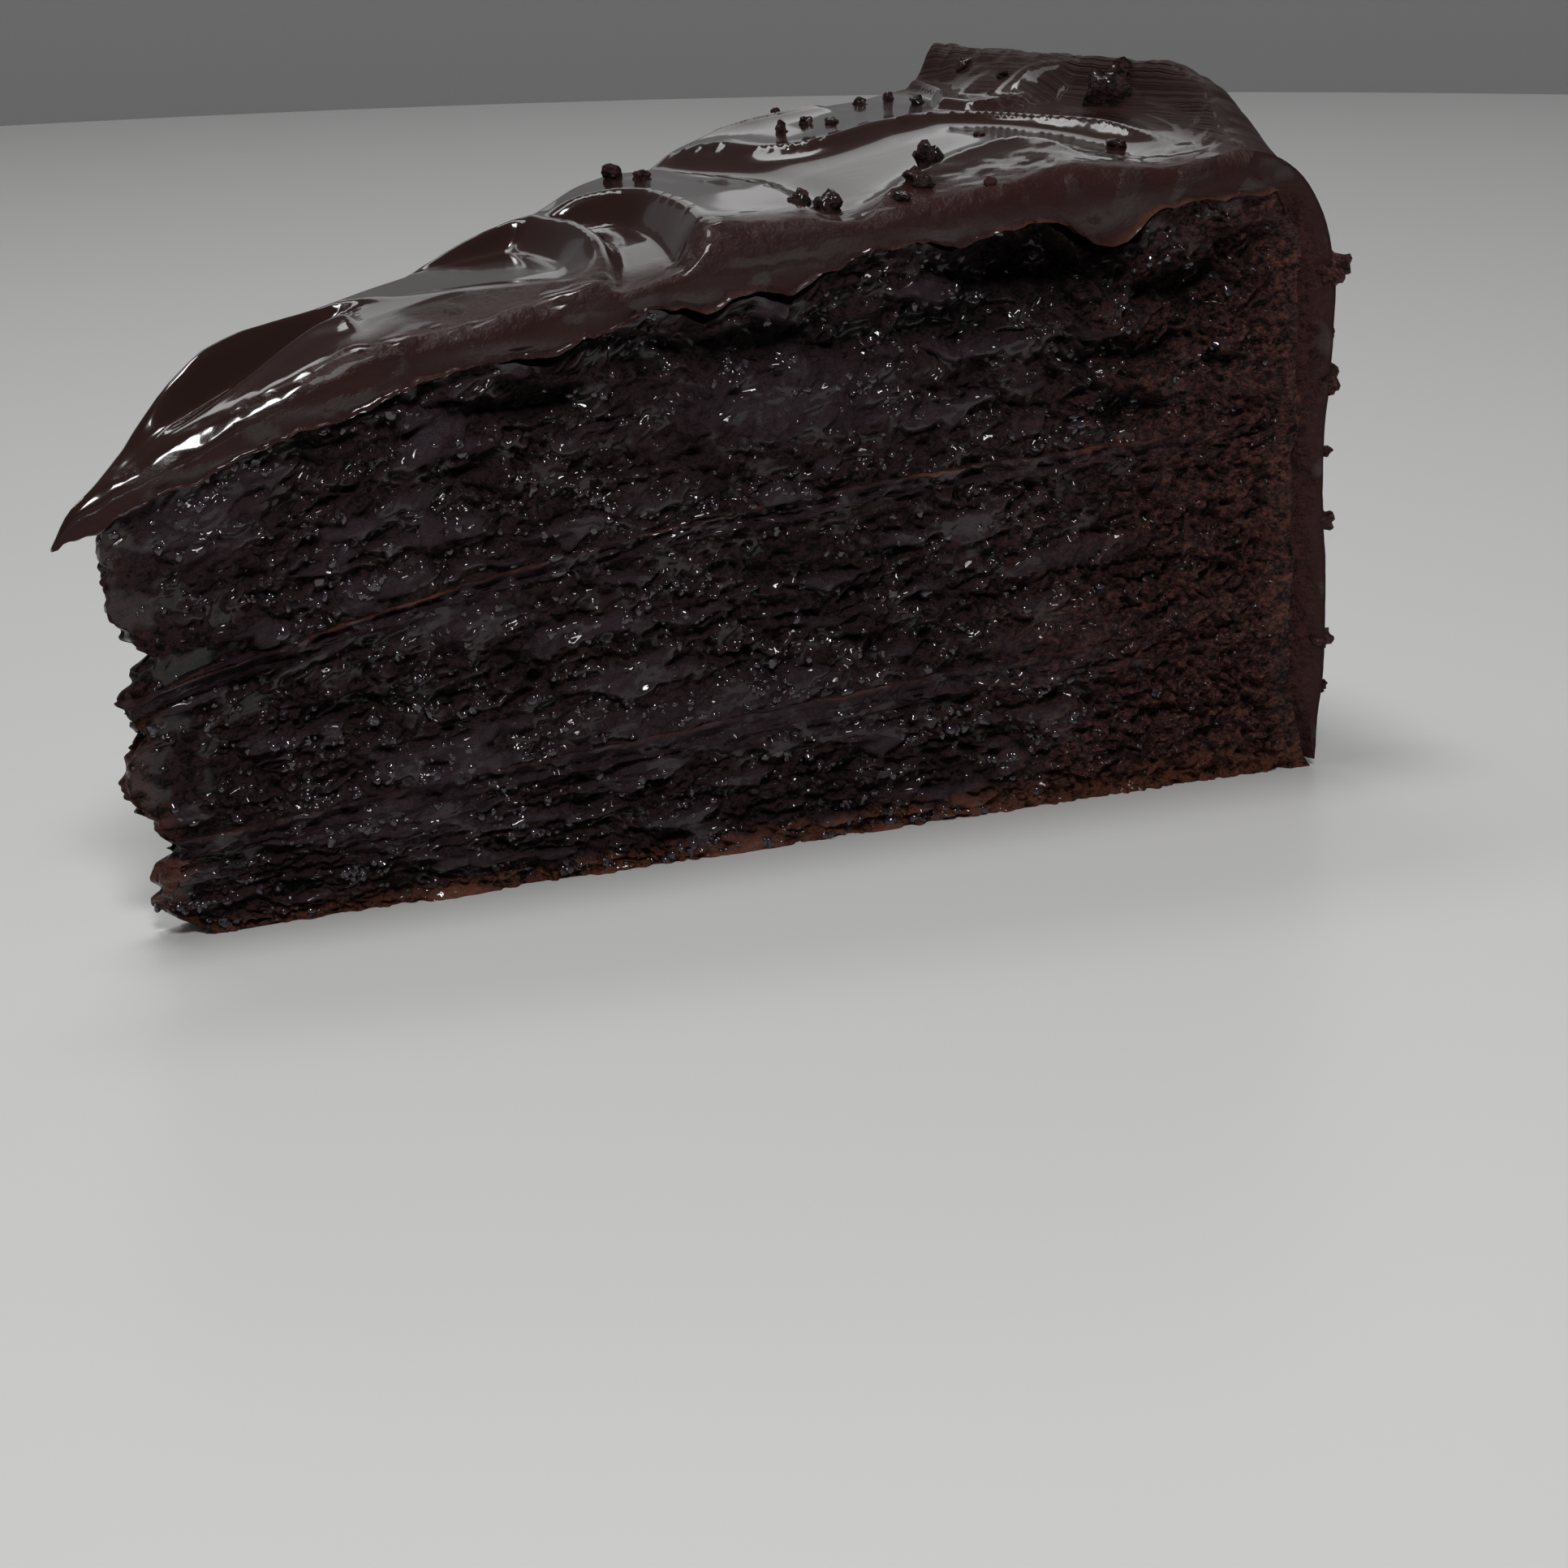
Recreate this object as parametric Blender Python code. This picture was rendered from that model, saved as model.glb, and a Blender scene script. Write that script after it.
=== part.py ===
"""Slice of a three-layer chocolate cake, standing on its base.

Metres, +Z up. The slice is a wedge cut from a round cake: +X runs from the pointed tip
to the round outer side, -Y is the side of the near cut face. The origin is on the flat
underside, a little nearer the outer side than the tip.

Three layers of sponge lie on each other with a dark filling between them, and one coat
of frosting covers the top and the round side. Every piece is a block whose length runs
outwards, whose width runs round from the near cut to the far cut, and whose third way
is its thickness. Radii below are measured from the centre of the whole cake.
"""
import math
import random

import bmesh
import bpy
import numpy as np
from mathutils import Matrix, Vector, noise

# The whole cake and the cut
CAKE_RADIUS = 0.102
WEDGE_ANGLE = math.radians(28.0)
HALF_ANGLE = WEDGE_ANGLE / 2
CENTRE_X = -0.056
GAP = 0.0003

# Heights at the outer side, how far each line sinks towards the tip, and how it curves
LOWER_FILLING_TOP = (0.0135, 0.0069, 1.4)
UPPER_FILLING_TOP = (0.0290, 0.0125, 2.4)
TOP_SPONGE_TOP = (0.0473, 0.0180, 2.2)
FROSTING_TOP = (0.0520, 0.0200, 2.2)
LOWER_FILLING = 0.0018
UPPER_FILLING = 0.0015
FILLING_THIN_END = 0.70
TIP_DROOP = 0.0020
TIP_DROOP_REACH = 0.0035

# The ragged tip: height above the base and distance from the cake's centre
TIP_OUTLINE = ((0.0000, 0.0094), (0.0020, 0.0063), (0.0040, 0.0062), (0.0065, 0.0078),
               (0.0095, 0.0052), (0.0120, 0.0039), (0.0155, 0.0054), (0.0180, 0.0046),
               (0.0207, 0.0068), (0.0240, 0.0040), (0.0275, 0.0035), (0.0300, 0.0039))
FROSTING_TIP = 0.0007

# The side coat: it thins to nothing at the base and is thickest below the rounded rim
SIDE_FACE = 0.1021
COAT_INSIDE = 0.0992
COAT_FOOT_FLARE = 0.0023
COAT_FOOT_HEIGHT = 0.0100
COAT_BOTTOM = 0.0006
SPONGE_SHOULDER_DROP = 0.0060
SPONGE_SHOULDER_INSET = 0.0022
RIM_ROUND_FAR = 0.0028
RIM_ROUND_NEAR = 0.0080
RIM_ROUND_TALLNESS = 1.25
SIDE_STROKE = 0.00035
SIDE_STROKE_SPACING = 0.0264
SIDE_STROKE_LEAN = 1.3

# Raised lip where the side frosting was pulled up over the rim, fading to the near cut
LIP_RADIUS = 0.0995
LIP_HEIGHT = 0.0034
LIP_INNER_WIDTH = 0.0042
LIP_FADE_START = -0.15
LIP_FADE_END = -0.95
LIP_BREAK = (0.84, 0.98)

# Hollows in the top of the sponge under the frosting: radius, depth, half width
NEAR_HOLLOWS = ((0.0375, 0.0020, 0.0030), (0.0490, 0.0020, 0.0025), (0.0560, 0.0020, 0.0030),
                (0.0700, 0.0012, 0.0030), (0.0828, 0.0042, 0.0032))
FAR_HOLLOWS = ((0.0300, 0.0012, 0.0035), (0.0520, 0.0020, 0.0030), (0.0780, 0.0026, 0.0035))
FROSTING_SAG = 0.6

# Thick places in the frosting: centre x and y, half length, half width, height
BULGES = ((0.0155, 0.0040, 0.0065, 0.0026, 0.0036), (0.0235, -0.0060, 0.0060, 0.0024, 0.0018),
          (0.0410, 0.0100, 0.0050, 0.0035, 0.0008))
# Spatula dents: centre x and y, half length, half width, turn, depth, rim height
DENTS = ((0.0720, -0.0020, 0.0130, 0.0070, -8.0, 0.0014, 0.0004),
         (0.0830, 0.0110, 0.0120, 0.0060, 12.0, 0.0012, 0.0003),
         (0.0525, 0.0030, 0.0085, 0.0085, 60.0, 0.0016, 0.0006),
         (0.0405, 0.0040, 0.0095, 0.0062, 12.0, 0.0018, 0.0007),
         (0.0185, -0.0004, 0.0120, 0.0040, 4.0, 0.0012, 0.0004))
DENT_RIM_WIDTH = 0.26
SWIRL_START = (0.004, 0.009)

# Long ridges left between strokes: height, width on each side, then points they pass
RIDGES = ((0.0009, 0.0012, 0.0045, ((0.0600, 0.0130), (0.0605, 0.0080), (0.0610, 0.0020),
                                    (0.0600, -0.0040), (0.0640, -0.0090), (0.0720, -0.0110),
                                    (0.0800, -0.0115))),
          (0.0010, 0.0040, 0.0012, ((0.0640, 0.0160), (0.0660, 0.0080), (0.0690, 0.0030),
                                    (0.0770, 0.0025), (0.0850, 0.0010), (0.0885, -0.0050),
                                    (0.0900, -0.0120))),
          (0.0006, 0.0012, 0.0040, ((0.0700, 0.0160), (0.0740, 0.0145), (0.0820, 0.0140),
                                    (0.0900, 0.0160))))

# Crumbs fallen on the frosting: x, y and size
CRUMBS = ((0.0556, 0.0118, 0.0017), (0.0563, 0.0088, 0.0013), (0.0755, 0.0170, 0.0011),
          (0.0699, 0.0106, 0.0013), (0.0729, 0.0118, 0.0012), (0.0736, 0.0100, 0.0011),
          (0.0896, 0.0157, 0.0014), (0.0895, 0.0195, 0.0013), (0.0860, 0.0190, 0.0012),
          (0.0716, -0.0082, 0.0022), (0.0690, -0.0105, 0.0020), (0.0668, -0.0098, 0.0013),
          (0.0627, -0.0070, 0.0017), (0.0609, -0.0057, 0.0013), (0.0724, -0.0145, 0.0009),
          (0.0958, 0.0048, 0.0034), (0.0875, -0.0119, 0.0014), (0.0955, 0.0165, 0.0013),
          (0.0945, 0.0100, 0.0011), (0.0800, -0.0040, 0.0009), (0.0470, 0.0010, 0.0008))
CRUMB_SINK = 0.25
CRUMB_BED = 0.0003
# Scraps of crust that stand out of the side coat by the near cut: turn, height and size
SIDE_SCRAPS = ((-13.4, 0.0408, 0.0022), (-13.2, 0.0318, 0.0023), (-13.5, 0.0205, 0.0013),
               (-13.4, 0.0105, 0.0014))
CRUMB_UNEVENNESS = 0.22
SCRAP_STAND = 0.15

# Holes torn in the near cut face: radius, height, half length, half height, depth
NEAR_PITS = ((0.0710, 0.0422, 0.0085, 0.0024, 0.0024), (0.0890, 0.0405, 0.0045, 0.0020, 0.0022),
             (0.0260, 0.0345, 0.0060, 0.0016, 0.0012), (0.0470, 0.0372, 0.0090, 0.0018, 0.0014),
             (0.0110, 0.0200, 0.0040, 0.0020, 0.0010))
# How the cut faces are broken up: lumps, and finer torn streaks among them
CRAG_DEPTH = 0.0013
CRAG_LENGTH = 0.0095
CRAG_HEIGHT = 0.0036
CRAG_SIDE_STEP = 7.3
TORN_STREAK_DEPTH = 0.0008
STREAK_FINENESS = 1.9
STREAK_SHIFT = Vector((3.1, 0.0, 8.4))
STREAK_SHARPNESS = 2.4
TIP_RELIEF_SHARE = 0.08
EDGE_RELIEF = 0.25
SPONGE_CRUMBLE = 1.0
FILLING_CRUMBLE = 0.5

# How finely each piece is cut up: outwards, round, and through its thickness
SPONGE_CUTS = (36, 4, 6)
TOP_SPONGE_CUTS = (36, 6, 6)
FILLING_CUTS = (36, 2, 1)
FROSTING_TOP_CUTS = 50
FROSTING_ROUND_CUTS = 14
RIM_CUTS = 5
SIDE_CUTS = 7
FROSTING_LEVELS = 2
SETTLING_STEPS = 4

# Colour, roughness
SPONGE_COLOUR = (0.020, 0.011, 0.010)
SPONGE_ROUGHNESS = 0.62
FILLING_COLOUR = (0.014, 0.009, 0.010)
FILLING_ROUGHNESS = 0.28
FROSTING_COLOUR = (0.022, 0.011, 0.010)
FROSTING_ROUGHNESS = 0.22


def clear_scene():
    """Empty the scene of whatever it opened with."""
    for item in list(bpy.data.objects):
        bpy.data.objects.remove(item, do_unlink=True)


def smooth_step(low, high, value):
    """0 at low, 1 at high, with a soft start and end."""
    share = np.clip((value - low) / (high - low), 0.0, 1.0)
    return share * share * (3.0 - 2.0 * share)


def layer_line(line, radius):
    """Height of one of the lines between the layers, which sink towards the tip."""
    rim_height, sink, power = line
    return rim_height - sink * np.clip(1.0 - radius / CAKE_RADIUS, 0.0, 1.0) ** power


def hollow_depth(hollows, radius):
    """Depth of the row of hollows along one cut face."""
    return sum(depth * math.exp(-((radius - middle) / half_width) ** 2)
               for middle, depth, half_width in hollows)


def top_hollow(radius, across):
    """Hollows under the frosting reach in from both cut faces and fade at mid width."""
    near = hollow_depth(NEAR_HOLLOWS, radius) * max(0.0, -across)
    far = hollow_depth(FAR_HOLLOWS, radius) * max(0.0, across)
    return near + far


def tip_radius(height):
    """Distance from the cake's centre at which the torn tip starts."""
    heights = [point[0] for point in TIP_OUTLINE]
    radii = [point[1] for point in TIP_OUTLINE]
    return float(np.interp(height, heights, radii))


def coat_inside(height):
    """Inner radius of the side coat: flared at the foot, drawn in at the shoulder."""
    foot = max(0.0, 1.0 - height / COAT_FOOT_HEIGHT) ** 2 * COAT_FOOT_FLARE
    shoulder_start = TOP_SPONGE_TOP[0] - SPONGE_SHOULDER_DROP
    rise = max(0.0, (height - shoulder_start) / SPONGE_SHOULDER_DROP)
    return COAT_INSIDE + foot - SPONGE_SHOULDER_INSET * rise ** 2


def sponge_radius(share, height):
    """Radius at a share of the way from the torn tip to the side coat."""
    start = tip_radius(height)
    return start + (coat_inside(height) - GAP - start) * share


def place(radius, angle, height):
    """A point from its polar place in the whole cake."""
    return Vector((CENTRE_X + radius * math.cos(angle), radius * math.sin(angle), height))


def pit_depth(radius, height):
    """Depth of the named holes in the near cut face."""
    return sum(depth * math.exp(-((radius - pit_radius) / half_length) ** 4
                                - ((height - pit_height) / half_height) ** 4)
               for pit_radius, pit_height, half_length, half_height, depth in NEAR_PITS)


def crag(radius, height, side):
    """How far a cut face is torn away, in bands that run outwards like the crumb does."""
    spot = Vector((radius / CRAG_LENGTH, side * CRAG_SIDE_STEP, height / CRAG_HEIGHT))
    lumps = 0.5 + 0.5 * noise.noise(spot)
    streaks = abs(noise.noise(spot * STREAK_FINENESS + STREAK_SHIFT))
    torn = CRAG_DEPTH * lumps
    torn += TORN_STREAK_DEPTH * (1.0 - min(1.0, STREAK_SHARPNESS * streaks))
    if side < 0:
        torn += pit_depth(radius, height)
    return torn


def inward(side):
    """Direction into the slice from the near cut (-1) or the far cut (1)."""
    return Vector((math.sin(HALF_ANGLE), -side * math.cos(HALF_ANGLE), 0.0))


def edge_ease(share):
    """Relief is full in the middle of a layer and slight where it meets the next."""
    return EDGE_RELIEF + (1.0 - EDGE_RELIEF) * math.sin(math.pi * share) ** 0.6


def block(name, points, material):
    """One closed body from a grid of points: outwards, round, and through."""
    shape = points.shape[:3]
    mesh_data = bmesh.new()
    corners = {}

    def corner(*index):
        if index not in corners:
            corners[index] = mesh_data.verts.new(points[index])
        return corners[index]

    for axis in range(3):
        first, second = [other for other in range(3) if other != axis]
        for side in (0, shape[axis] - 1):
            for a in range(shape[first] - 1):
                for b in range(shape[second] - 1):
                    ring = []
                    for step_a, step_b in ((0, 0), (1, 0), (1, 1), (0, 1)):
                        index = [0, 0, 0]
                        index[axis] = side
                        index[first] = a + step_a
                        index[second] = b + step_b
                        ring.append(corner(*index))
                    mesh_data.faces.new(ring)
    bmesh.ops.recalc_face_normals(mesh_data, faces=mesh_data.faces)
    mesh = bpy.data.meshes.new(name)
    mesh_data.to_mesh(mesh)
    mesh_data.free()
    mesh.materials.append(material)
    piece = bpy.data.objects.new(name, mesh)
    bpy.context.scene.collection.objects.link(piece)
    return piece


def material_of(name, colour, roughness):
    """Plain material with the piece's colour."""
    material = bpy.data.materials.new(name)
    material.use_nodes = True
    shader = material.node_tree.nodes["Principled BSDF"]
    shader.inputs["Base Color"].default_value = (*colour, 1.0)
    shader.inputs["Roughness"].default_value = roughness
    shader.inputs["Metallic"].default_value = 0.0
    return material


def height_on(surface, share, across):
    """Height of a layer's surface where the ray at this share of the way meets it."""
    height = surface(CAKE_RADIUS * share, across)
    for _ in range(SETTLING_STEPS):
        height = surface(sponge_radius(share, height), across)
    return height


def layer_points(cuts, floor_height, roof_height, crumbly):
    """Grid of one layer between two surfaces, each given by radius and place across."""
    outward, around, through = cuts
    points = np.zeros((outward + 1, around + 1, through + 1, 3))
    for i in range(outward + 1):
        share = i / outward
        for j in range(around + 1):
            across = 2.0 * j / around - 1.0
            low = height_on(floor_height, share, across)
            high = height_on(roof_height, share, across)
            for k in range(through + 1):
                height = low + (high - low) * k / through
                radius = sponge_radius(share, height)
                point = place(radius, across * HALF_ANGLE, height)
                if abs(across) == 1.0:
                    depth = crag(radius, height, across) * edge_ease(k / through)
                    depth = min(depth * crumbly, TIP_RELIEF_SHARE * radius)
                    point += inward(across) * depth
                points[i, j, k] = point
    return points


def filling_bottom(line, thickness, radius):
    """Lower surface of a filling, which is thinner towards the tip."""
    share = FILLING_THIN_END + (1.0 - FILLING_THIN_END) * radius / CAKE_RADIUS
    return layer_line(line, radius) - thickness * share


def make_sponge_bottom():
    def floor_height(radius, across):
        return 0.0

    def roof_height(radius, across):
        return filling_bottom(LOWER_FILLING_TOP, LOWER_FILLING, radius) - GAP

    points = layer_points(SPONGE_CUTS, floor_height, roof_height, SPONGE_CRUMBLE)
    material = material_of("bottom_sponge", SPONGE_COLOUR, SPONGE_ROUGHNESS)
    return block("sponge_bottom", points, material)


def make_filling_lower():
    def floor_height(radius, across):
        return filling_bottom(LOWER_FILLING_TOP, LOWER_FILLING, radius)

    def roof_height(radius, across):
        return layer_line(LOWER_FILLING_TOP, radius)

    points = layer_points(FILLING_CUTS, floor_height, roof_height, FILLING_CRUMBLE)
    material = material_of("lower_filling", FILLING_COLOUR, FILLING_ROUGHNESS)
    return block("filling_lower", points, material)


def make_sponge_middle():
    def floor_height(radius, across):
        return layer_line(LOWER_FILLING_TOP, radius) + GAP

    def roof_height(radius, across):
        return filling_bottom(UPPER_FILLING_TOP, UPPER_FILLING, radius) - GAP

    points = layer_points(SPONGE_CUTS, floor_height, roof_height, SPONGE_CRUMBLE)
    material = material_of("middle_sponge", SPONGE_COLOUR, SPONGE_ROUGHNESS)
    return block("sponge_middle", points, material)


def make_filling_upper():
    def floor_height(radius, across):
        return filling_bottom(UPPER_FILLING_TOP, UPPER_FILLING, radius)

    def roof_height(radius, across):
        return layer_line(UPPER_FILLING_TOP, radius)

    points = layer_points(FILLING_CUTS, floor_height, roof_height, FILLING_CRUMBLE)
    material = material_of("upper_filling", FILLING_COLOUR, FILLING_ROUGHNESS)
    return block("filling_upper", points, material)


def make_sponge_top():
    def floor_height(radius, across):
        return layer_line(UPPER_FILLING_TOP, radius) + GAP

    def roof_height(radius, across):
        return layer_line(TOP_SPONGE_TOP, radius) - top_hollow(radius, across)

    points = layer_points(TOP_SPONGE_CUTS, floor_height, roof_height, SPONGE_CRUMBLE)
    material = material_of("top_sponge", SPONGE_COLOUR, SPONGE_ROUGHNESS)
    return block("sponge_top", points, material)


def dent_change(x, y, height):
    """Press the spatula's dents into the top, each over the ones before it."""
    for centre_x, centre_y, half_length, half_width, turn, depth, rim in DENTS:
        angle = math.radians(turn)
        along = (x - centre_x) * math.cos(angle) + (y - centre_y) * math.sin(angle)
        beside = (y - centre_y) * math.cos(angle) - (x - centre_x) * math.sin(angle)
        reach = math.hypot(along / half_length, beside / half_width)
        inside = float(smooth_step(1.05, 0.85, reach))
        bowl = -depth * max(0.0, 1.0 - reach * reach)
        height = height * (1.0 - inside) + bowl * inside
        height += rim * math.exp(-((reach - 1.0) / DENT_RIM_WIDTH) ** 2)
    return height


def bulge_height(x, y):
    """Height that the thick places add."""
    return sum(height * math.exp(-((x - centre_x) / half_length) ** 2
                                 - ((y - centre_y) / half_width) ** 2)
               for centre_x, centre_y, half_length, half_width, height in BULGES)


def ridge_height(x, y, ridge):
    """Height of one long ridge, steep on one side and drawn out on the other."""
    height, left_width, right_width, route = ridge
    nearest = 1.0
    side = 1.0
    for (ax, ay), (bx, by) in zip(route, route[1:]):
        length_squared = (bx - ax) ** 2 + (by - ay) ** 2
        share = ((x - ax) * (bx - ax) + (y - ay) * (by - ay)) / length_squared
        share = min(1.0, max(0.0, share))
        away_x = x - ax - share * (bx - ax)
        away_y = y - ay - share * (by - ay)
        distance = math.hypot(away_x, away_y)
        if distance < nearest:
            nearest = distance
            side = (bx - ax) * away_y - (by - ay) * away_x
    width = left_width if side > 0.0 else right_width
    return height * math.exp(-(nearest / width) ** 2)


def lip_rise(radius, across):
    """The raised lip along the rim, highest on the far half."""
    fade = float(smooth_step(LIP_FADE_END, LIP_FADE_START, across))
    fade *= 1.0 - float(smooth_step(*LIP_BREAK, across))
    inner = math.exp(-(max(0.0, LIP_RADIUS - radius) / LIP_INNER_WIDTH) ** 2)
    return LIP_HEIGHT * fade * inner


def frosting_top(radius, across):
    """Height of the swirled top of the frosting."""
    x = radius * math.cos(across * HALF_ANGLE)
    y = radius * math.sin(across * HALF_ANGLE)
    dome = layer_line(FROSTING_TOP, radius) - TIP_DROOP * math.exp(-radius / TIP_DROOP_REACH)
    swirl = dent_change(x, y, bulge_height(x, y))
    swirl += sum(ridge_height(x, y, ridge) for ridge in RIDGES)
    return dome + swirl * float(smooth_step(*SWIRL_START, radius)) + lip_rise(radius, across)


def rim_round(across):
    """Radius of the rounded rim, large by the near cut and small by the far one."""
    share = float(smooth_step(LIP_FADE_START, -1.0, across))
    return RIM_ROUND_FAR + (RIM_ROUND_NEAR - RIM_ROUND_FAR) * share


def side_wave(height, across):
    """Slight bands that the spatula left round the side."""
    turn = math.tau * height / SIDE_STROKE_SPACING + SIDE_STROKE_LEAN * across
    return SIDE_STROKE * math.sin(turn)


def frosting_outside(across):
    """Points down one section of the outside: top, rounded rim, side."""
    rounding = rim_round(across)
    rim_start = SIDE_FACE - rounding
    angle = across * HALF_ANGLE
    line = []
    for i in range(FROSTING_TOP_CUTS + 1):
        share = i / FROSTING_TOP_CUTS
        radius = FROSTING_TIP + (rim_start - FROSTING_TIP) * share
        line.append((radius, frosting_top(radius, across)))
    rim_top = line[-1][1]
    for i in range(1, RIM_CUTS + 1):
        turn = math.pi / 2 * i / RIM_CUTS
        drop = RIM_ROUND_TALLNESS * rounding * (1.0 - math.cos(turn))
        line.append((rim_start + rounding * math.sin(turn), rim_top - drop))
    side_top = line[-1][1]
    for i in range(1, SIDE_CUTS + 1):
        height = side_top + (COAT_BOTTOM - side_top) * i / SIDE_CUTS
        line.append((SIDE_FACE + side_wave(height, across), height))
    return [place(radius, angle, height) for radius, height in line]


def frosting_inside(across):
    """Points along the same section where the frosting lies on the sponge."""
    angle = across * HALF_ANGLE
    line = []
    shoulder = coat_inside(TOP_SPONGE_TOP[0])
    for i in range(FROSTING_TOP_CUTS + 1):
        share = i / FROSTING_TOP_CUTS
        radius = FROSTING_TIP + (shoulder - FROSTING_TIP) * share
        sag = FROSTING_SAG * top_hollow(radius, across)
        line.append((radius, layer_line(TOP_SPONGE_TOP, radius) + GAP - sag))
    rest = RIM_CUTS + SIDE_CUTS
    start_height = line[-1][1]
    for i in range(1, rest + 1):
        height = start_height + (COAT_BOTTOM - start_height) * i / rest
        line.append((coat_inside(height), height))
    return [place(radius, angle, height) for radius, height in line]


def crumb(size, seed):
    """A small broken lump with flat sides."""
    chooser = random.Random(seed)
    mesh_data = bmesh.new()
    bmesh.ops.create_icosphere(mesh_data, subdivisions=1, radius=size / 2)
    for vertex in mesh_data.verts:
        vertex.co *= 1.0 + chooser.uniform(-CRUMB_UNEVENNESS, CRUMB_UNEVENNESS)
    stretches = [1.0 + chooser.uniform(-CRUMB_UNEVENNESS, CRUMB_UNEVENNESS) for _ in range(3)]
    squash = Matrix.Diagonal((*stretches, 1.0))
    turn = Matrix.Rotation(chooser.uniform(0.0, math.tau), 4, "Z")
    bmesh.ops.transform(mesh_data, matrix=turn @ squash, verts=mesh_data.verts)
    mesh = bpy.data.meshes.new("crumb")
    mesh_data.to_mesh(mesh)
    mesh_data.free()
    return mesh


def scatter_crumbs(collection):
    """Crumbs on the top and scraps on the side, ready to be joined to the frosting."""
    for seed, (x, y, size) in enumerate(CRUMBS):
        radius = math.hypot(x, y)
        across = math.atan2(y, x) / HALF_ANGLE
        lump = bpy.data.objects.new("crumb", crumb(size, seed))
        rise = size * (0.5 - CRUMB_SINK) - CRUMB_BED
        lump.location = (CENTRE_X + x, y, frosting_top(radius, across) + rise)
        collection.objects.link(lump)
    for seed, (turn, height, size) in enumerate(SIDE_SCRAPS, start=len(CRUMBS)):
        lump = bpy.data.objects.new("scrap", crumb(size, seed))
        lump.location = place(SIDE_FACE + size * SCRAP_STAND, math.radians(turn), height)
        collection.objects.link(lump)


def join_crumbs(frosting):
    """Unite the crumbs with the frosting as one closed body."""
    toppings = bpy.data.collections.new("toppings")
    bpy.context.scene.collection.children.link(toppings)
    scatter_crumbs(toppings)
    union = frosting.modifiers.new("crumbs", "BOOLEAN")
    union.operation = "UNION"
    union.operand_type = "COLLECTION"
    union.collection = toppings
    union.solver = "EXACT"
    bpy.context.view_layer.update()
    shape = frosting.evaluated_get(bpy.context.evaluated_depsgraph_get())
    joined = bpy.data.meshes.new_from_object(shape)
    frosting.modifiers.remove(union)
    frosting.data = joined
    for item in list(toppings.objects):
        bpy.data.objects.remove(item, do_unlink=True)
    bpy.data.collections.remove(toppings)


def make_frosting():
    length = FROSTING_TOP_CUTS + RIM_CUTS + SIDE_CUTS + 1
    points = np.zeros((length, FROSTING_ROUND_CUTS + 1, FROSTING_LEVELS + 1, 3))
    for j in range(FROSTING_ROUND_CUTS + 1):
        across = 2.0 * j / FROSTING_ROUND_CUTS - 1.0
        inside = frosting_inside(across)
        outside = frosting_outside(across)
        for i in range(length):
            for k in range(FROSTING_LEVELS + 1):
                points[i, j, k] = inside[i].lerp(outside[i], k / FROSTING_LEVELS)
    material = material_of("chocolate_frosting", FROSTING_COLOUR, FROSTING_ROUGHNESS)
    frosting = block("frosting", points, material)
    join_crumbs(frosting)
    return frosting


def main():
    clear_scene()
    make_sponge_bottom()
    make_filling_lower()
    make_sponge_middle()
    make_filling_upper()
    make_sponge_top()
    make_frosting()


main()
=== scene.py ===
"""Looks for a slice of three-layer chocolate cake.

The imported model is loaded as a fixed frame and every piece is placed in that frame, in
metres. Each layer of sponge, each filling and the frosting is built again as a fine
surface over its own solid, and small crumbs lie on top. The lines between the layers, the
tip and the rim keep close to the solids' sizes. The swirls, the torn holes and some of the
crumbs have places of their own.
"""

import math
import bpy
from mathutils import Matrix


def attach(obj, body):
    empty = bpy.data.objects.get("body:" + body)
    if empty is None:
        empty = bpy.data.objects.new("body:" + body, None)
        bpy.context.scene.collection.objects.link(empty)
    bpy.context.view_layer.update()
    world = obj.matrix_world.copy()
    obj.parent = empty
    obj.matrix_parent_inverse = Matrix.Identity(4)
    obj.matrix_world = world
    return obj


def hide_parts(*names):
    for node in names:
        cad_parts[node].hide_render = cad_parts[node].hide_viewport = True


bl_info = {
    "name": "Chocolate cake slice",
    "version": (1, 0, 0),
    "blender": (4, 5, 0),
    "location": "3D View > Sidebar > Cake",
    "description": "Builds a slice of layered chocolate cake with swirled frosting",
    "category": "Object",
}

import bmesh
import bpy
import numpy as np
from bpy.props import FloatProperty, FloatVectorProperty, IntProperty, PointerProperty
from bpy.types import Operator, Panel, PropertyGroup
from mathutils import Quaternion, Vector

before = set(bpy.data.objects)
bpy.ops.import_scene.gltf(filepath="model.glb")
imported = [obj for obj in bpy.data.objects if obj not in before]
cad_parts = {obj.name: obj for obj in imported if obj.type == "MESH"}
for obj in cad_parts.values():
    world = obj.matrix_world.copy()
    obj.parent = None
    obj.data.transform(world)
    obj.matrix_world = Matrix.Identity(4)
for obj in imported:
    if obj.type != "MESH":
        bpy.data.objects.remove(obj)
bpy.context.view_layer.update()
BODY = "root"

# Lines between the layers: height at the outer side, sink towards the tip, curve
LOWER_FILLING_TOP = (0.0135, 0.0069, 1.4)
UPPER_FILLING_TOP = (0.0290, 0.0125, 2.4)
TOP_SPONGE_TOP = (0.0473, 0.0180, 2.2)
FROSTING_TOP = (0.0520, 0.0200, 2.2)
FILLING_THIN_END = 0.70
TIP_DROOP = 0.0013
TIP_DROOP_REACH = 0.0035
GAP = 0.00001
# Waves in those lines, and tatters where a line is wild: length, lift
LINE_WAVES = ((0.0060, 0.00022), (0.0022, 0.00016), (0.0009, 0.00008))
EDGE_WILDNESS = 2.2
EDGE_TATTERS = ((0.0021, 0.00026), (0.0010, 0.00022))
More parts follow.
